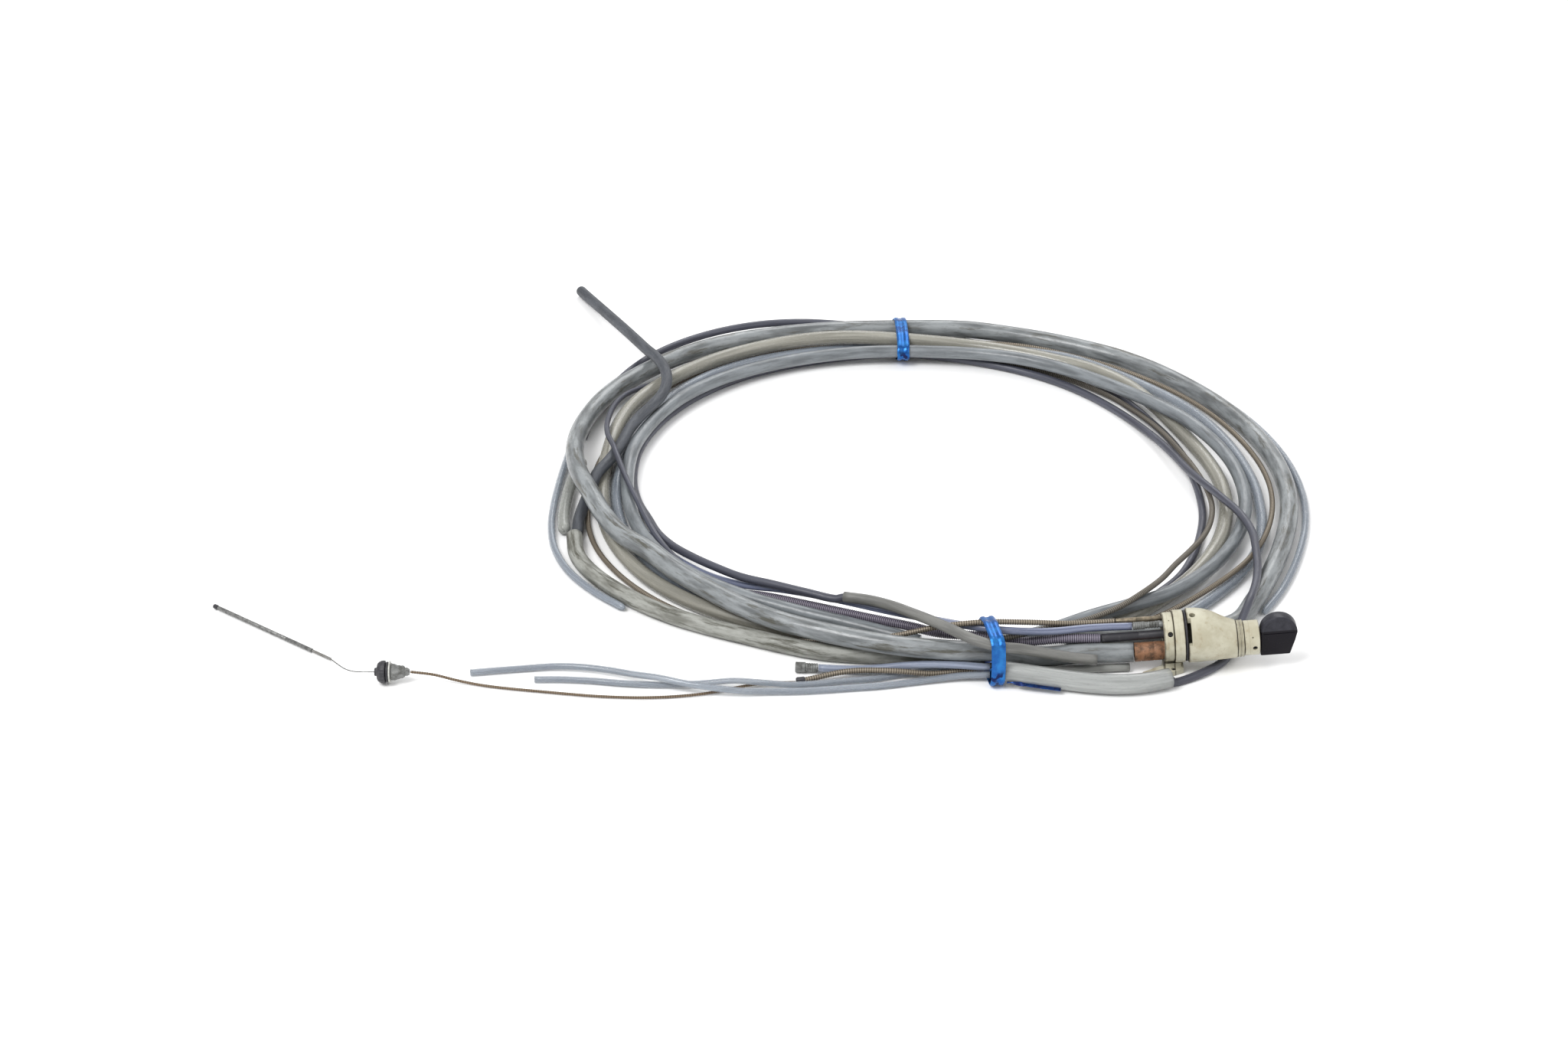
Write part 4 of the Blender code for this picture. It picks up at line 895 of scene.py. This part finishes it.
def line_skin():
    """A tube along a line, with ribs, rounded or open ends, and marks of where it runs."""
    tree = Growth("line_skin", Radius="Float", Depth="Float", Pitch="Float", Step="Float",
                  Sides="Int", Tip="Float", End="Float", Material="Material")
    line = tree.add("GeometryNodeMeshToCurve", inputs={"Mesh": tree.given("Geometry")})
    line = tree.add("GeometryNodeResampleCurve", {"mode": "LENGTH"},
                    {"Curve": line, "Length": tree.given("Step")})
    run = tree.add("GeometryNodeSplineParameter", out="Length")
    total = tree.add("GeometryNodeSplineLength", out="Length")
    line = tree.keep(line, "along", run)
    crest = (run * (2 * math.pi) / tree.given("Pitch")).sine()
    radius = tree.given("Radius") - tree.given("Depth") * (0.5 - crest * 0.5)
    inset = 1 - (run.least(total - run) / tree.given("Tip")).least(1.0)
    radius = radius * (1 - inset * inset).most(0.0).root().most(tree.given("End"))
    ring_line = tree.add("GeometryNodeCurvePrimitiveCircle",
                         inputs={"Resolution": tree.given("Sides"), "Radius": 1.0})
    spot = tree.add("GeometryNodeInputPosition")
    ring_line = tree.keep(ring_line, "section", spot, "FLOAT_VECTOR")
    skin = tree.add("GeometryNodeCurveToMesh", {}, {
        "Curve": line, "Profile Curve": ring_line, "Scale": radius, "Fill Caps": False})
    tree.close(tree.add("GeometryNodeSetShadeSmooth", inputs={"Geometry": skin}))
    return tree


def helix():
    """A wire wound round X, from the origin."""
    tree = Growth("helix", Turns="Float", Coil="Float", Wire="Float", Length="Float",
                  Material="Material")
    turns = tree.add("GeometryNodeCurveSpiral", {}, {
        "Resolution": 28, "Rotations": tree.given("Turns"), "Start Radius": tree.given("Coil"),
        "End Radius": tree.given("Coil"), "Height": tree.given("Length")})
    turns = tree.add("GeometryNodeTransform", {}, {
        "Geometry": turns, "Rotation": (0, math.pi / 2, 0)})
    wire = tree.add("GeometryNodeCurvePrimitiveCircle", inputs={"Resolution": 10, "Radius": 1.0})
    skin = tree.add("GeometryNodeCurveToMesh", {}, {
        "Curve": turns, "Profile Curve": wire, "Scale": tree.given("Wire"), "Fill Caps": True})
    tree.close(tree.add("GeometryNodeSetShadeSmooth", inputs={"Geometry": skin}))
    return tree


LINE_SKIN = line_skin()
HELIX = helix()


def path_object(name, points):
    """A scratch polyline, from points in millimetres."""
    mesh = bpy.data.meshes.new(name)
    mesh.from_pydata([tuple(Vector(p) * MM) for p in points],
                     [(k, k + 1) for k in range(len(points) - 1)], [])
    return scratch(name, mesh)


def facing_out(mesh):
    """The mesh with its faces pointing away from the line that it wraps."""
    bm = bmesh.new()
    bm.from_mesh(mesh)
    if bm.calc_volume(signed=True) < 0:
        bmesh.ops.reverse_faces(bm, faces=bm.faces)
    bm.to_mesh(mesh)
    bm.free()
    return mesh


def capped(mesh):
    """The mesh with its open ends filled."""
    bm = bmesh.new()
    bm.from_mesh(mesh)
    bmesh.ops.holes_fill(bm, edges=[e for e in bm.edges if e.is_boundary], sides=0)
    bmesh.ops.recalc_face_normals(bm, faces=bm.faces)
    bm.to_mesh(mesh)
    bm.free()
    return mesh


def skinned(points, radius, paint, step, sides, depth=0.0, pitch=1.0, tip=0.01, end=1.0, wall=0.0):
    """A tube's mesh: closed at its ends, or hollow with a wall."""
    mesh = LINE_SKIN.grow(
        path_object("line", points), Radius=radius * MM, Depth=depth * MM, Pitch=pitch * MM,
        Step=step * MM, Sides=sides, Tip=tip * MM, End=end, Material=paint.mat)
    return facing_out(mesh) if wall else capped(mesh)


# ---------------------------------------------------------------- the lines of the coil
FINE_STEP = 3.0
# name: finish, slot, wall thickness (0 is a closed body), what its far end is
LINE_KIND = {
    "milky_tube": ("milky_tube", "milky", 0, "object"),
    "inner_milky_tube": ("inner_milky_tube", "milky", 0, "object"),
    "stained_sleeve": ("stained_sleeve", "milky", 0.7, "bare"),
    "grey_hose": ("grey_hose", "slate", 0, "object"),
    "slate_cable": ("slate", "slate", 0, "object"),
    "slate_cable_2": ("slate", "slate", 0, "object"),
    "thin_slate_loop": ("slate", "slate", 0, "object"),
    "ribbed_conduit": ("ribbed_conduit", "slate", 0, "object"),
    "air_tube": ("air_tube", "clear", 0, "object"),
    "release_conduit": ("release_conduit", "brown", 0, "fitting"),
    "brown_conduit": ("brown_conduit", "brown", 0, "object"),
    "middle_clear_tube": ("clear", "clear", 0.6, "object"),
    "outer_clear_tube": ("clear", "clear", 0.5, "object"),
    "pale_tube": ("pale_tube", "clear", 0.8, "object"),
    "grey_sleeve": ("grey_sleeve", "grey", 0.55, "bare"),
    "short_grey_sleeve": ("short_grey_sleeve", "grey", 0.5, "bare"),
    "wide_clear_sleeve": ("wide_clear_sleeve", "clear", 0.6, "object"),
    "clear_sleeve": ("clear_sleeve", "clear", 0.7, "object"),
    "clear_tail": ("clear", "clear", 0.4, "object"),
    "short_clear_tail": ("clear", "clear", 0.4, "object"),
    "drain_tube": ("drain_tube", "clear", 0.5, "fitting"),
    "tail_conduit": ("tail_conduit", "brown", 0, "fitting"),
}


# Lines whose ends run on inside a sleeve: the sleeve at the start, and the one at the end.
SLEEVED = {"slate_cable": ("clear_sleeve", "grey_sleeve"), "grey_hose": (None, "stained_sleeve")}


def run_of(line):
    points = list(ROUTES[line])
    for sleeve, at in zip(SLEEVED.get(line, ()), (0, len(points) + 2)):
        if sleeve:
            mouth, inside = ROUTES[sleeve][0], ROUTES[sleeve][1]
            deep = mouth + (inside - mouth) * 0.35
            points[at:at] = [deep, mouth] if at == 0 else [mouth, deep]
    return smooth(points, FINE_STEP)


WINDING = {"step": WIND_PITCH / 4, "sides": 8, "depth": 0.2, "pitch": WIND_PITCH}
TAPERED = {"step": 1.0, "sides": 20, "tip": 4.0, "end": 0.15}
# Lines whose skin isn't a plain tube.
SKIN_SHAPE = {
    "ribbed_conduit": {"step": RIB_PITCH / 5, "sides": 18, "depth": 0.45, "pitch": RIB_PITCH},
    "release_conduit": WINDING,
    "brown_conduit": WINDING,
    "tail_conduit": {**WINDING, "depth": 0.12},
    "grey_hose": {"step": 0.9, "sides": 24, "tip": 2.4, "end": 0.12},
    "wide_clear_sleeve": TAPERED,
    "outer_clear_tube": TAPERED,
}

CORDS = {}
for line, (look, slot, wall, _) in LINE_KIND.items():
    radius = LINES[line][0]
    sides = 28 if radius > 3 else 20 if radius > 1.4 else 12
    shape = SKIN_SHAPE.get(line, {"step": FINE_STEP, "sides": sides})
    mesh = skinned(run_of(line), radius, SOFT[look], wall=wall, **shape)
    CORDS[line] = placed(line + "_skin", mesh, SOFT[look], stands_for=(line,))
    if wall:
        thick = CORDS[line].modifiers.new("wall", "SOLIDIFY")
        thick.thickness = wall * MM
        thick.offset = -1


# ---------------------------------------------------------------- the head
# Where the screws sit on the head: along it, and the direction across it.
RING_SCREWS = ((3.2, -0.80, 0.60), (3.2, 0.75, -0.60))
COLLAR_SCREWS = ((44.6, -0.98, -0.12), (44.6, 0.90, 0.40))


def radial_hole(s, y, z, top, r, axis_drop=0.0, depth=2.6):
    """A cutter for a round hole into the head's skin."""
    prof = [(top - depth, 0), (top - depth, r), (top + 2, r), (top + 2, 0)]
    return turned("hole", prof, lowered(axis_drop) @ radial(s, y, z), 32)


def head_screws():
    """Socket screws, sunk in the rear ring and the collar."""
    for group, spots, top, r, drop in (("ring_screw", RING_SCREWS, RING_R, 1.0, 0.0),
                                       ("collar_screw", COLLAR_SCREWS, COLLAR_R, 0.9, NECK_DROP)):
        socket = r * 0.48
        prof = [(top - 2.2, 0), (top - 2.2, r), (top - 0.8, r), (top - 0.62, r - 0.16),
                (top - 0.62, socket), (top - 1.3, socket), (top - 1.3, 0)]
        for k, spot in enumerate(spots):
            name = f"{group}_{k + 1}"
            place = lowered(drop) @ radial(*spot)
            piece(name, turned(name, prof, place, 24), SCREW)


def rear_ring():
    prof = [(0.0, 11.7), (0.4, RING_R), (2.1, RING_R), (2.25, RING_R - 0.16), (2.4, RING_R),
            (4.6, RING_R), (5.0, 11.8), (5.0, 8.0), (1.9, 8.0), (1.9, 11.3), (0.0, 11.3)]
    body = rounded(turned("rear_ring", prof, HEAD, 128), 0.12)
    for spot in RING_SCREWS:
        joined(body, radial_hole(*spot, RING_R, 1.3))
    joined(body, radial_hole(3.0, -0.30, 0.95, RING_R, 0.35, depth=0.7))
    piece("rear_ring", body, CREAM)


def clamp_ring():
    prof = [(5.3, 12.5), (5.6, CLAMP_R), (7.6, CLAMP_R), (7.75, CLAMP_R - 0.12), (7.9, CLAMP_R),
            (9.9, CLAMP_R), (10.3, 12.6), (10.3, 8.0), (5.3, 8.0)]
    piece("clamp_ring", rounded(turned("clamp_ring", prof, HEAD, 128), 0.1), CREAM, "ring")


def bell():
    """The bell: a drum whose shoulder runs down to the neck, with a port, a slot and chips."""
    shoulder = [(17, 13.4), (20, 13.1), (23, 12.6), (26, 11.9), (29, 11.0), (32, 10.2), (35, 9.6),
                (36, 9.4)]
    prof = [(11.9, 13.1), (12.3, BELL_R), (14, BELL_R)]
    prof += [(s, r, (BELL_R - r) * NECK_DROP / 4.1) for s, r in shoulder]
    prof += [(36, 6.4, NECK_DROP), (33, 6.4, NECK_DROP), (31, 8.0, 2.6), (26, 9.6, 1.4),
             (20, 10.6, 0.2), (11.9, 10.8)]
    body = rounded(turned("bell_housing", prof, HEAD, 144), 0.14)
    joined(body, radial_hole(14.6, -0.2, 0.98, BELL_R - 0.5, 1.5, depth=4.0))
    slot = [(10, -14.5), (13.6, -14.5), (13.6, -4.5), (10, -4.5)]
    joined(body, slab("slot", slot, 2.0, 13.5, HEAD))
    rng = np.random.default_rng(11)
    for s in (23.5, 26.8, 30.5, 33.6, 35.4):
        chip = bmesh.new()
        bmesh.ops.create_icosphere(chip, subdivisions=2, radius=(0.5 + 0.35 * rng.random()) * MM)
        spot = head_point(s, -1.5 + rng.normal() * 1.2, -BELL_R + 0.06)
        bmesh.ops.translate(chip, verts=chip.verts, vec=Vector(spot) * MM)
        mesh = bpy.data.meshes.new("chip")
        chip.to_mesh(mesh)
        chip.free()
        joined(body, scratch("chip", mesh))
    piece("bell_housing", body, CREAM)


def neck_and_collar():
    neck = [(36.3, 9.2), (36.9, 9.2), (37.0, 8.7), (37.3, 8.7), (37.4, 9.2), (38.3, 9.2),
            (38.4, 8.7), (38.7, 8.7), (38.8, 9.2), (39.3, 9.2), (39.3, 5.3), (36.3, 5.3)]
    piece("neck_ring", rounded(turned("neck_ring", drop_by(neck), HEAD, 112), 0.08), CREAM)
    ring_cut = [(39.6, 8.4), (39.9, 8.6), (42.0, 8.6), (42.15, 8.4), (42.3, 8.6), (46.8, COLLAR_R),
                (47.1, 8.4), (47.1, 5.3), (39.6, 5.3)]
    collar = rounded(turned("front_collar", drop_by(ring_cut), HEAD, 112), 0.1)
    for spot in COLLAR_SCREWS:
        joined(collar, radial_hole(*spot, COLLAR_R, 1.2, NECK_DROP))
    joined(collar, radial_hole(43.6, -0.86, 0.52, COLLAR_R, 0.4, NECK_DROP, 0.8))
    piece("front_collar", collar, CREAM)


def gasket():
    prof = [(10.6, 12.4), (10.8, 12.6), (11.1, 12.45), (11.4, 12.6), (11.6, 12.4), (11.6, 8),
            (10.6, 8)]
    piece("gasket", turned("gasket", prof, HEAD, 96), RUBBER)


def knob():
    """The D-shaped knob: a raised rim round its half disc, and a flat skirt below."""
    place = HEAD @ Matrix.Rotation(math.radians(90), 4, "X")

    def half_circle(r, step):
        angles = [math.radians(a) for a in range(180, -1, -step)]
        return [(KNOB_AT[0] + r * math.cos(a), KNOB_AT[1] + r * math.sin(a)) for a in angles]

    outline = [(47.7, KNOB_FOOT)] + half_circle(KNOB_R, 4) + [(64.9, -5.5), (62.2, KNOB_FOOT)]
    half = KNOB_DEPTH / 2
    body = rounded(slab("thumb_knob", outline, -half, half, place), 0.75, 40, 4)
    sunk = half_circle(KNOB_R - 1.5, 5)
    for side in (-1, 1):
        low, high = sorted((side * (half - 0.28), side * (half + 2)))
        joined(body, slab("dish", sunk, low, high, place))
    bore = drop_by([(40, 0), (40, BUSH_BORE), (54, BUSH_BORE), (54, 0)])
    joined(body, turned("socket", bore, HEAD, 32))
    piece("thumb_knob", body, KNOB, "knob", sharp=28)


def spring():
    """The return spring, made as one fixed coil; on the object it shortens as the knob is pulled.
    """
    start, end, coil_r, wire_r = 22.6, 32.4, 3.6, 0.45
    base = path_object("spring_seed", [(0, 0, 0), (1, 0, 0)])
    mesh = HELIX.grow(base, Turns=5.0, Coil=coil_r * MM, Wire=wire_r * MM,
                      Length=(end - start) * MM, Material=STEEL.mat)
    mesh.transform(HEAD @ Matrix.Translation(Vector((start, 0, -NECK_DROP)) * MM))
    obj = placed("return_spring_fine", mesh, STEEL, stands_for=("return_spring",))
    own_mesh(obj)


def entries():
    """The ferrules and the boot where the lines enter the head."""
    swage = [(-14.4, 0), (-14.4, 4.4), (-14.0, 4.7), (-11.6, 4.7), (-11.2, 4.5), (-10.8, 4.7),
             (-5.2, 4.7), (-4.8, 4.52), (-4.4, 4.7), (-1, 4.7), (-0.6, 4.5), (0.6, 4.5), (0.6, 0)]
    crimp = [(-14.2, 0), (-14.2, 1.7), (-13.9, 1.95)]
    for k in range(5):
        crimp += [(-13.3 + k * 1.0, 2.0), (-13.0 + k * 1.0, 1.78), (-12.7 + k * 1.0, 2.0)]
    crimp += [(-8.5, 1.95), (-8.2, 1.5)]
    for k in range(5):
        crimp += [(-7.4 + k * 1.4, 1.7), (-7.0 + k * 1.4, 1.5), (-6.6 + k * 1.4, 1.7)]
    crimp += [(0.6, 1.6), (0.6, 0)]
    boot = [(-30, 0), (-30, 1.9), (-29.6, 2.2), (-12, 2.2), (-11.7, 2.05), (-11.4, 2.2), (0.6, 2.2),
            (0.6, 0)]
    bronze = [(-22.2, 0), (-22.2, 1.1), (-21.9, 1.3), (-12, 1.3), (-11.8, 1.12), (-11.6, 1.3),
              (-1, 1.3), (0.6, 1.2), (0.6, 0)]
    for name, at, prof, paint, slot in (
            ("copper_ferrule", COPPER_AT, swage, COPPER, "copper"),
            ("crimp_ferrule", CRIMP_AT, crimp, CRIMP, "steel"),
            ("black_boot", BOOT_AT, boot, RUBBER, "dark_rubber"),
            ("bronze_ferrule", BRONZE_AT, bronze, BRASS, "brass")):
        place = HEAD @ Matrix.Translation(Vector((0, *at)) * MM)
        piece(name, turned(name, prof, place, 48), paint)


def clip():
    """The cable clip under the rings, with its saddle and three sunk screws."""
    body = slab("cable_clip", [(-6, -1.8), (2.6, -1.8), (14.6, 4.6), (14.8, 15), (5, 15), (4, 8),
                               (-1, 4.4), (-6, 1.4)], 0.0, 2.6)
    joined(body, slab("riser", [(5.4, 6), (13.4, 6), (13.4, 15), (5.4, 15)], 1.0, 6.0), "UNION")
    joined(body, turned("saddle", [(-4, 0), (-4, CLAMP_R + 0.35), (20, CLAMP_R + 0.35), (20, 0)],
                        HEAD, 96))
    for k, (x, y) in enumerate(((9.6, 4.3), (4.2, 2.2), (-1.6, 0.4))):
        spot = Matrix.Translation(Vector((x, y, 0)) * MM) @ Matrix.Rotation(-math.pi / 2, 4, "Y")
        joined(body, turned("hole", [(1.0, 0), (1.0, 1.25), (4, 1.25), (4, 0)], spot, 32))
        prof = [(1.35, 0), (1.35, 0.9), (2.2, 0.9), (2.35, 0.75), (2.35, 0.4), (1.8, 0.4), (1.8, 0)]
        name = f"clip_screw_{k + 1}"
        piece(name, turned(name, prof, spot, 24), SCREW)
    rounded(body, 0.22, 40, 2)
    piece("cable_clip", body, CREAM)


rear_ring()
clamp_ring()
gasket()
bell()
neck_and_collar()
knob()
head_screws()
spring()
entries()
clip()
for node, paint in (("cable_plate", RUBBER), ("guide_bush", BRASS), ("plunger_rod", STEEL),
                    ("pull_disc", STEEL)):
    NODES[node].data.materials.clear()
    NODES[node].data.materials.append(paint.mat)


# ---------------------------------------------------------------- the wire end
FAR = Matrix.Translation(Vector((FIT_X, FIT_Y, FIT_Z)) * MM) @ Matrix.Rotation(math.pi, 4, "Z")
BORE = 0.75


def fitting():
    body = [(0, 1.5), (1.2, 2.1), (2.2, 2.2), (2.6, 3.0), (3.4, 3.3), (4.2, 3.2), (5.0, 3.6),
            (6.0, 3.7), (6.8, 4.1), (7.6, 4.2), (9.0, 4.4), (9.0, BORE), (3.0, BORE), (3.0, 0),
            (0, 0)]
    piece("crimp_body", turned("crimp_body", body, FAR, 96, (5, 0.14, 0.16)), CRIMP)
    washer = [(9.3, 5.2), (9.45, 5.4), (9.95, 5.4), (10.1, 5.2), (10.1, BORE), (9.3, BORE)]
    piece("fitting_washer", turned("fitting_washer", washer, FAR, 64), WASHER)
    band = [(10.4, 4.8), (10.6, 5.0), (11.2, 5.0), (11.4, 4.8), (11.4, BORE), (10.4, BORE)]
    piece("fitting_ring", turned("fitting_ring", band, FAR, 64), RUBBER)
    dome = [(11.7, 5.2), (12.0, 5.7), (12.8, 5.72), (13.6, 5.6), (14.3, 5.3), (15.0, 4.9),
            (15.5, 4.4), (15.8, 3.9), (16.0, 2.9), (16.1, 2.2), (16.6, 2.1), (17.2, 1.9),
            (17.2, BORE), (11.7, BORE)]
    piece("socket_nut", turned("socket_nut", dome, FAR, 96, (16, 0.025, 0.0)), RUBBER,
          "nut")


def wire_and_rod():
    wire = [(FIT_X - 8.7, FIT_Y, FIT_Z), (FIT_X - 12, FIT_Y, FIT_Z), (FIT_X - 16, FIT_Y, FIT_Z),
            (FIT_X - 23.6, FIT_Y, FIT_Z), (FIT_X - 27.2, FIT_Y + 1.4, 5.4),
            (FIT_X - 30.4, FIT_Y + 4.4, 4.2), (FIT_X - 33.6, FIT_Y + 8.6, 2.8),
            (FIT_X - 37, FIT_Y + 13.6, 1.8), (FIT_X - 41, FIT_Y + 18.8, 1.45)]
    mesh = skinned(smooth(wire, 0.8), 0.3, ROD_STEEL, 0.35, 10, 0.05, 1.1)
    placed("release_wire_skin", mesh, ROD_STEEL, "wire", ("release_wire",))
    rod_place = (Matrix.Translation(Vector((wire[-1][0], wire[-1][1], 1.45)) * MM)
                 @ Matrix.Rotation(math.atan2(44.0, -57.0), 4, "Z"))
    sleeve = [(0.3, 0), (0.3, 0.65), (0.4, 0.75), (6, 0.75), (6.15, 0.62), (6.3, 0.75),
              (12.9, 0.75), (13.0, 0.65), (13.0, 0)]
    rod = [(13.3, 0), (13.3, 0.95), (13.4, 1.05), (31, 1.05), (31.2, 0.93), (31.4, 1.05),
           (79.9, 1.05), (80.0, 0.95), (80.0, 0)]
    cap = [(80.3, 0), (80.3, 0.9), (80.6, 1.2), (82.5, 1.2), (82.85, 1.05), (83.0, 0.8), (83.0, 0)]
    piece("tip_sleeve", turned("tip_sleeve", sleeve, rod_place, 32), STEEL, "wire")
    piece("tip_rod", turned("tip_rod", rod, rod_place, 32), ROD_STEEL, "wire")
    piece("tip_cap", turned("tip_cap", cap, rod_place, 32), RUBBER, "wire")


def line_ferrules():
    end, prior = ROUTES["drain_tube"][0], ROUTES["drain_tube"][1]
    turn = math.atan2(end[1] - prior[1], end[0] - prior[0])
    drain = Matrix.Translation(Vector(end) * MM) @ Matrix.Rotation(turn, 4, "Z")
    prof = [(0.3, 0), (0.3, 2.0), (0.5, 2.2)]
    for k in range(4):
        prof += [(1.2 + k * 1.2, 2.2), (1.5 + k * 1.2, 1.95), (1.8 + k * 1.2, 2.2)]
    prof += [(6.0, 2.2), (6.3, 2.0), (6.6, 2.6), (8.0, 2.6), (8.2, 2.45), (8.4, 2.6), (11.2, 2.6),
             (11.4, 2.4), (11.4, 1.2), (8, 1.2), (8, 0)]
    piece("drain_ferrule", turned("drain_ferrule", prof, drain, 48), CRIMP)
    end, nxt = ROUTES["release_conduit"][-1], ROUTES["tail_conduit"][0]
    turn = math.atan2(nxt[1] - end[1], nxt[0] - end[0])
    reach = max(float(np.linalg.norm((nxt - end)[:2])) - 0.3, 2)
    join = Matrix.Translation(Vector((end[0], end[1], 1.8)) * MM) @ Matrix.Rotation(turn, 4, "Z")
    prof = [(0.3, 0), (0.3, 1.35), (0.6, 1.65), (reach - 0.6, 1.6), (reach, 1.2), (reach, 0)]
    piece("conduit_ferrule", turned("conduit_ferrule", prof, join, 40), RUBBER)


fitting()
wire_and_rod()
line_ferrules()


# ---------------------------------------------------------------- the ties
COIL_SPAN = (100, 260)         # distances from the coil's centre between which its lines lie


def crossing(theta):
    """Where the lines cross a section of the coil: points out from its centre, up, and size."""
    a = math.radians(theta)
    out = np.array([math.cos(a), math.sin(a)])
    along = np.array([-out[1], out[0]])
    discs = []
    for line, route in ROUTES.items():
        rel = route[:, :2] - np.array(COIL)
        u, v = rel @ out, rel @ along
        for k in range(len(route) - 1):
            if not COIL_SPAN[0] <= max(u[k], u[k + 1]) <= COIL_SPAN[1]:
                continue
            for shift in (-5, -2.5, 0, 2.5, 5):
                if (v[k] - shift) * (v[k + 1] - shift) <= 0 and v[k] != v[k + 1]:
                    f = (shift - v[k]) / (v[k + 1] - v[k])
                    slant = np.linalg.norm(route[k + 1] - route[k]) / abs(v[k + 1] - v[k])
                    size = LINES[line][0] * min(slant, 1.3)
                    discs.append((u[k] + f * (u[k + 1] - u[k]),
                                  route[k, 2] + f * (route[k + 1, 2] - route[k, 2]), size))
    return out, along, np.array(discs)


def band(name, theta):
    """A foil band drawn tight round the lines, with two ridges along it."""
    out, along, discs = crossing(theta)
    angles = np.radians(np.arange(0, 360, 15))
    normals = np.stack([np.cos(angles), np.sin(angles)], 1)
    reach = (discs[:, :2] @ normals.T + discs[:, 2:3]).max(0)

    def loop(extra):
        pts = []
        for k in range(len(angles)):
            kk = (k + 1) % len(angles)
            both = np.array([normals[k], normals[kk]])
            pts.append(np.linalg.solve(both, [reach[k] + extra, reach[kk] + extra]))
        pts = np.array(pts)
        fine = []
        for k in range(len(pts)):
            for i in range(6):
                fine.append(pts[k] + (pts[(k + 1) % len(pts)] - pts[k]) * i / 6)
        return np.array(fine)

    half = TIE_WIDTH / 2
    section = [(0.5, -half), (0.5, half), (0.85, half), (1.3, half * 0.78), (1.3, half * 0.4),
               (0.85, half * 0.2), (0.8, 0), (0.85, -half * 0.2), (1.3, -half * 0.4),
               (1.3, -half * 0.78), (0.85, -half)]
    rng = np.random.default_rng(3)
    turn = np.linspace(0, 6 * math.pi, 6 * len(angles), endpoint=False)
    sway = 0.35 * np.sin(turn + rng.random())
    verts, faces = [], []
    for extra, side in section:
        ridge = loop(extra)
        for k, (u, z) in enumerate(ridge):
            xy = np.array(COIL) + out * u + along * (side + sway[k] * 0.5)
            verts.append((xy[0], xy[1], z))
    n = len(ridge)
    for j in range(len(section)):
        nxt = (j + 1) % len(section)
        for k in range(n):
            kk = (k + 1) % n
            faces.append([j * n + k, j * n + kk, nxt * n + kk, nxt * n + k])
    piece(name, loose(name, verts, faces), FOIL, sharp=40)


def tail():
    """The tie's twisted end, and its flat tail along the front of the clear sleeve."""
    sleeve = ROUTES["clear_sleeve"][::-1]
    beside = LINES["clear_sleeve"][0] + 1.0
    route = []
    for x, lean in ((-73.4, 28), (-66, 28), (-57, 26), (-47.5, 24)):
        y, z = (float(np.interp(x, sleeve[:, 0], sleeve[:, k])) for k in (1, 2))
        lean = math.radians(lean)
        route.append((x, y - beside * math.cos(lean), z - beside * math.sin(lean)))
    route = smooth(route, 0.6)
    verts, faces = [], []
    for k, p in enumerate(route):
        ahead = route[min(k + 1, len(route) - 1)] - route[max(k - 1, 0)]
        side = np.array([-ahead[1], ahead[0], 0.0])
        side /= np.linalg.norm(side)
        t = k / (len(route) - 1)
        twist = 9.0 * max(0.0, 0.35 - t)
        wide = 0.75 + 0.6 * min(t * 2, 1)
        turn = np.array([math.cos(twist), math.sin(twist)])
        for w, h in ((-1, -0.22), (0, -0.34), (1, -0.22), (1, 0.22), (0, 0.34), (-1, 0.22)):
            w, h = w * wide * turn[0] - h * turn[1], w * wide * turn[1] + h * turn[0]
            verts.append(tuple(p + side * w + np.array([0, 0, max(h, 0.1 - p[2])])))
    for k in range(len(route) - 1):
        for j in range(6):
            jj = (j + 1) % 6
            faces.append([k * 6 + j, k * 6 + jj, k * 6 + 6 + jj, k * 6 + 6 + j])
    faces += [list(range(6))[::-1], [len(verts) - 6 + j for j in range(6)]]
    piece("tie_tail", loose("tie_tail", verts, faces), NAVY)


band("back_tie", TIE_ANGLES["back_tie"])
band("front_tie", TIE_ANGLES["front_tie"])
tail()


# ---------------------------------------------------------------- cords
# Lines whose route is written from the far end.
RUNS_BACK = ("drain_tube", "tail_conduit")
for line, (_, _, _, far_end) in LINE_KIND.items():
    route = run_of(line)
    if line in RUNS_BACK:
        route = route[::-1]
    2 * LINES[line][0] * MM


# ---------------------------------------------------------------- floor, lights and camera
def stage_and_camera():
    bpy.ops.mesh.primitive_plane_add(size=12, location=(0, 0, -0.0002))
    floor = bpy.context.object
    floor.name = "floor"
    pale = Paint("pale_floor", (0.93, 0.93, 0.93), 0.9)
    pale.put("Specular IOR Level", 0.1)
    floor.data.materials.append(pale.mat)
    world = bpy.data.worlds.new("studio")
    world.use_nodes = True
    world.node_tree.nodes["Background"].inputs[0].default_value = (1, 1, 1, 1)
    world.node_tree.nodes["Background"].inputs[1].default_value = 0.72
    SCENE.world = world
    for name, spot, size, power in (("key", (-1.2, -0.9, 2.0), 1.1, 44.0),
                                    ("fill", (1.6, -0.8, 1.5), 1.8, 10.0),
                                    ("rear", (0.2, 2.0, 1.8), 1.4, 20.0)):
        light = bpy.data.lights.new(name, "AREA")
        light.energy = power
        light.size = size
        lamp = bpy.data.objects.new(name, light)
        SCENE.collection.objects.link(lamp)
        lamp.location = spot
        aim = Vector((-0.15, 0.15, 0)) - Vector(spot)
        lamp.rotation_euler = aim.to_track_quat("-Z", "Y").to_euler()
    lens = bpy.data.cameras.new("camera")
    lens.lens = 75.0
    lens.sensor_width = 36.0
    camera = bpy.data.objects.new("camera", lens)
    SCENE.collection.objects.link(camera)
    camera.location = (-0.1825, -1.3539, 0.870)
    camera.rotation_euler = (math.radians(60), 0, 0)
    SCENE.camera = camera
    SCENE.view_settings.view_transform = "Standard"


stage_and_camera()
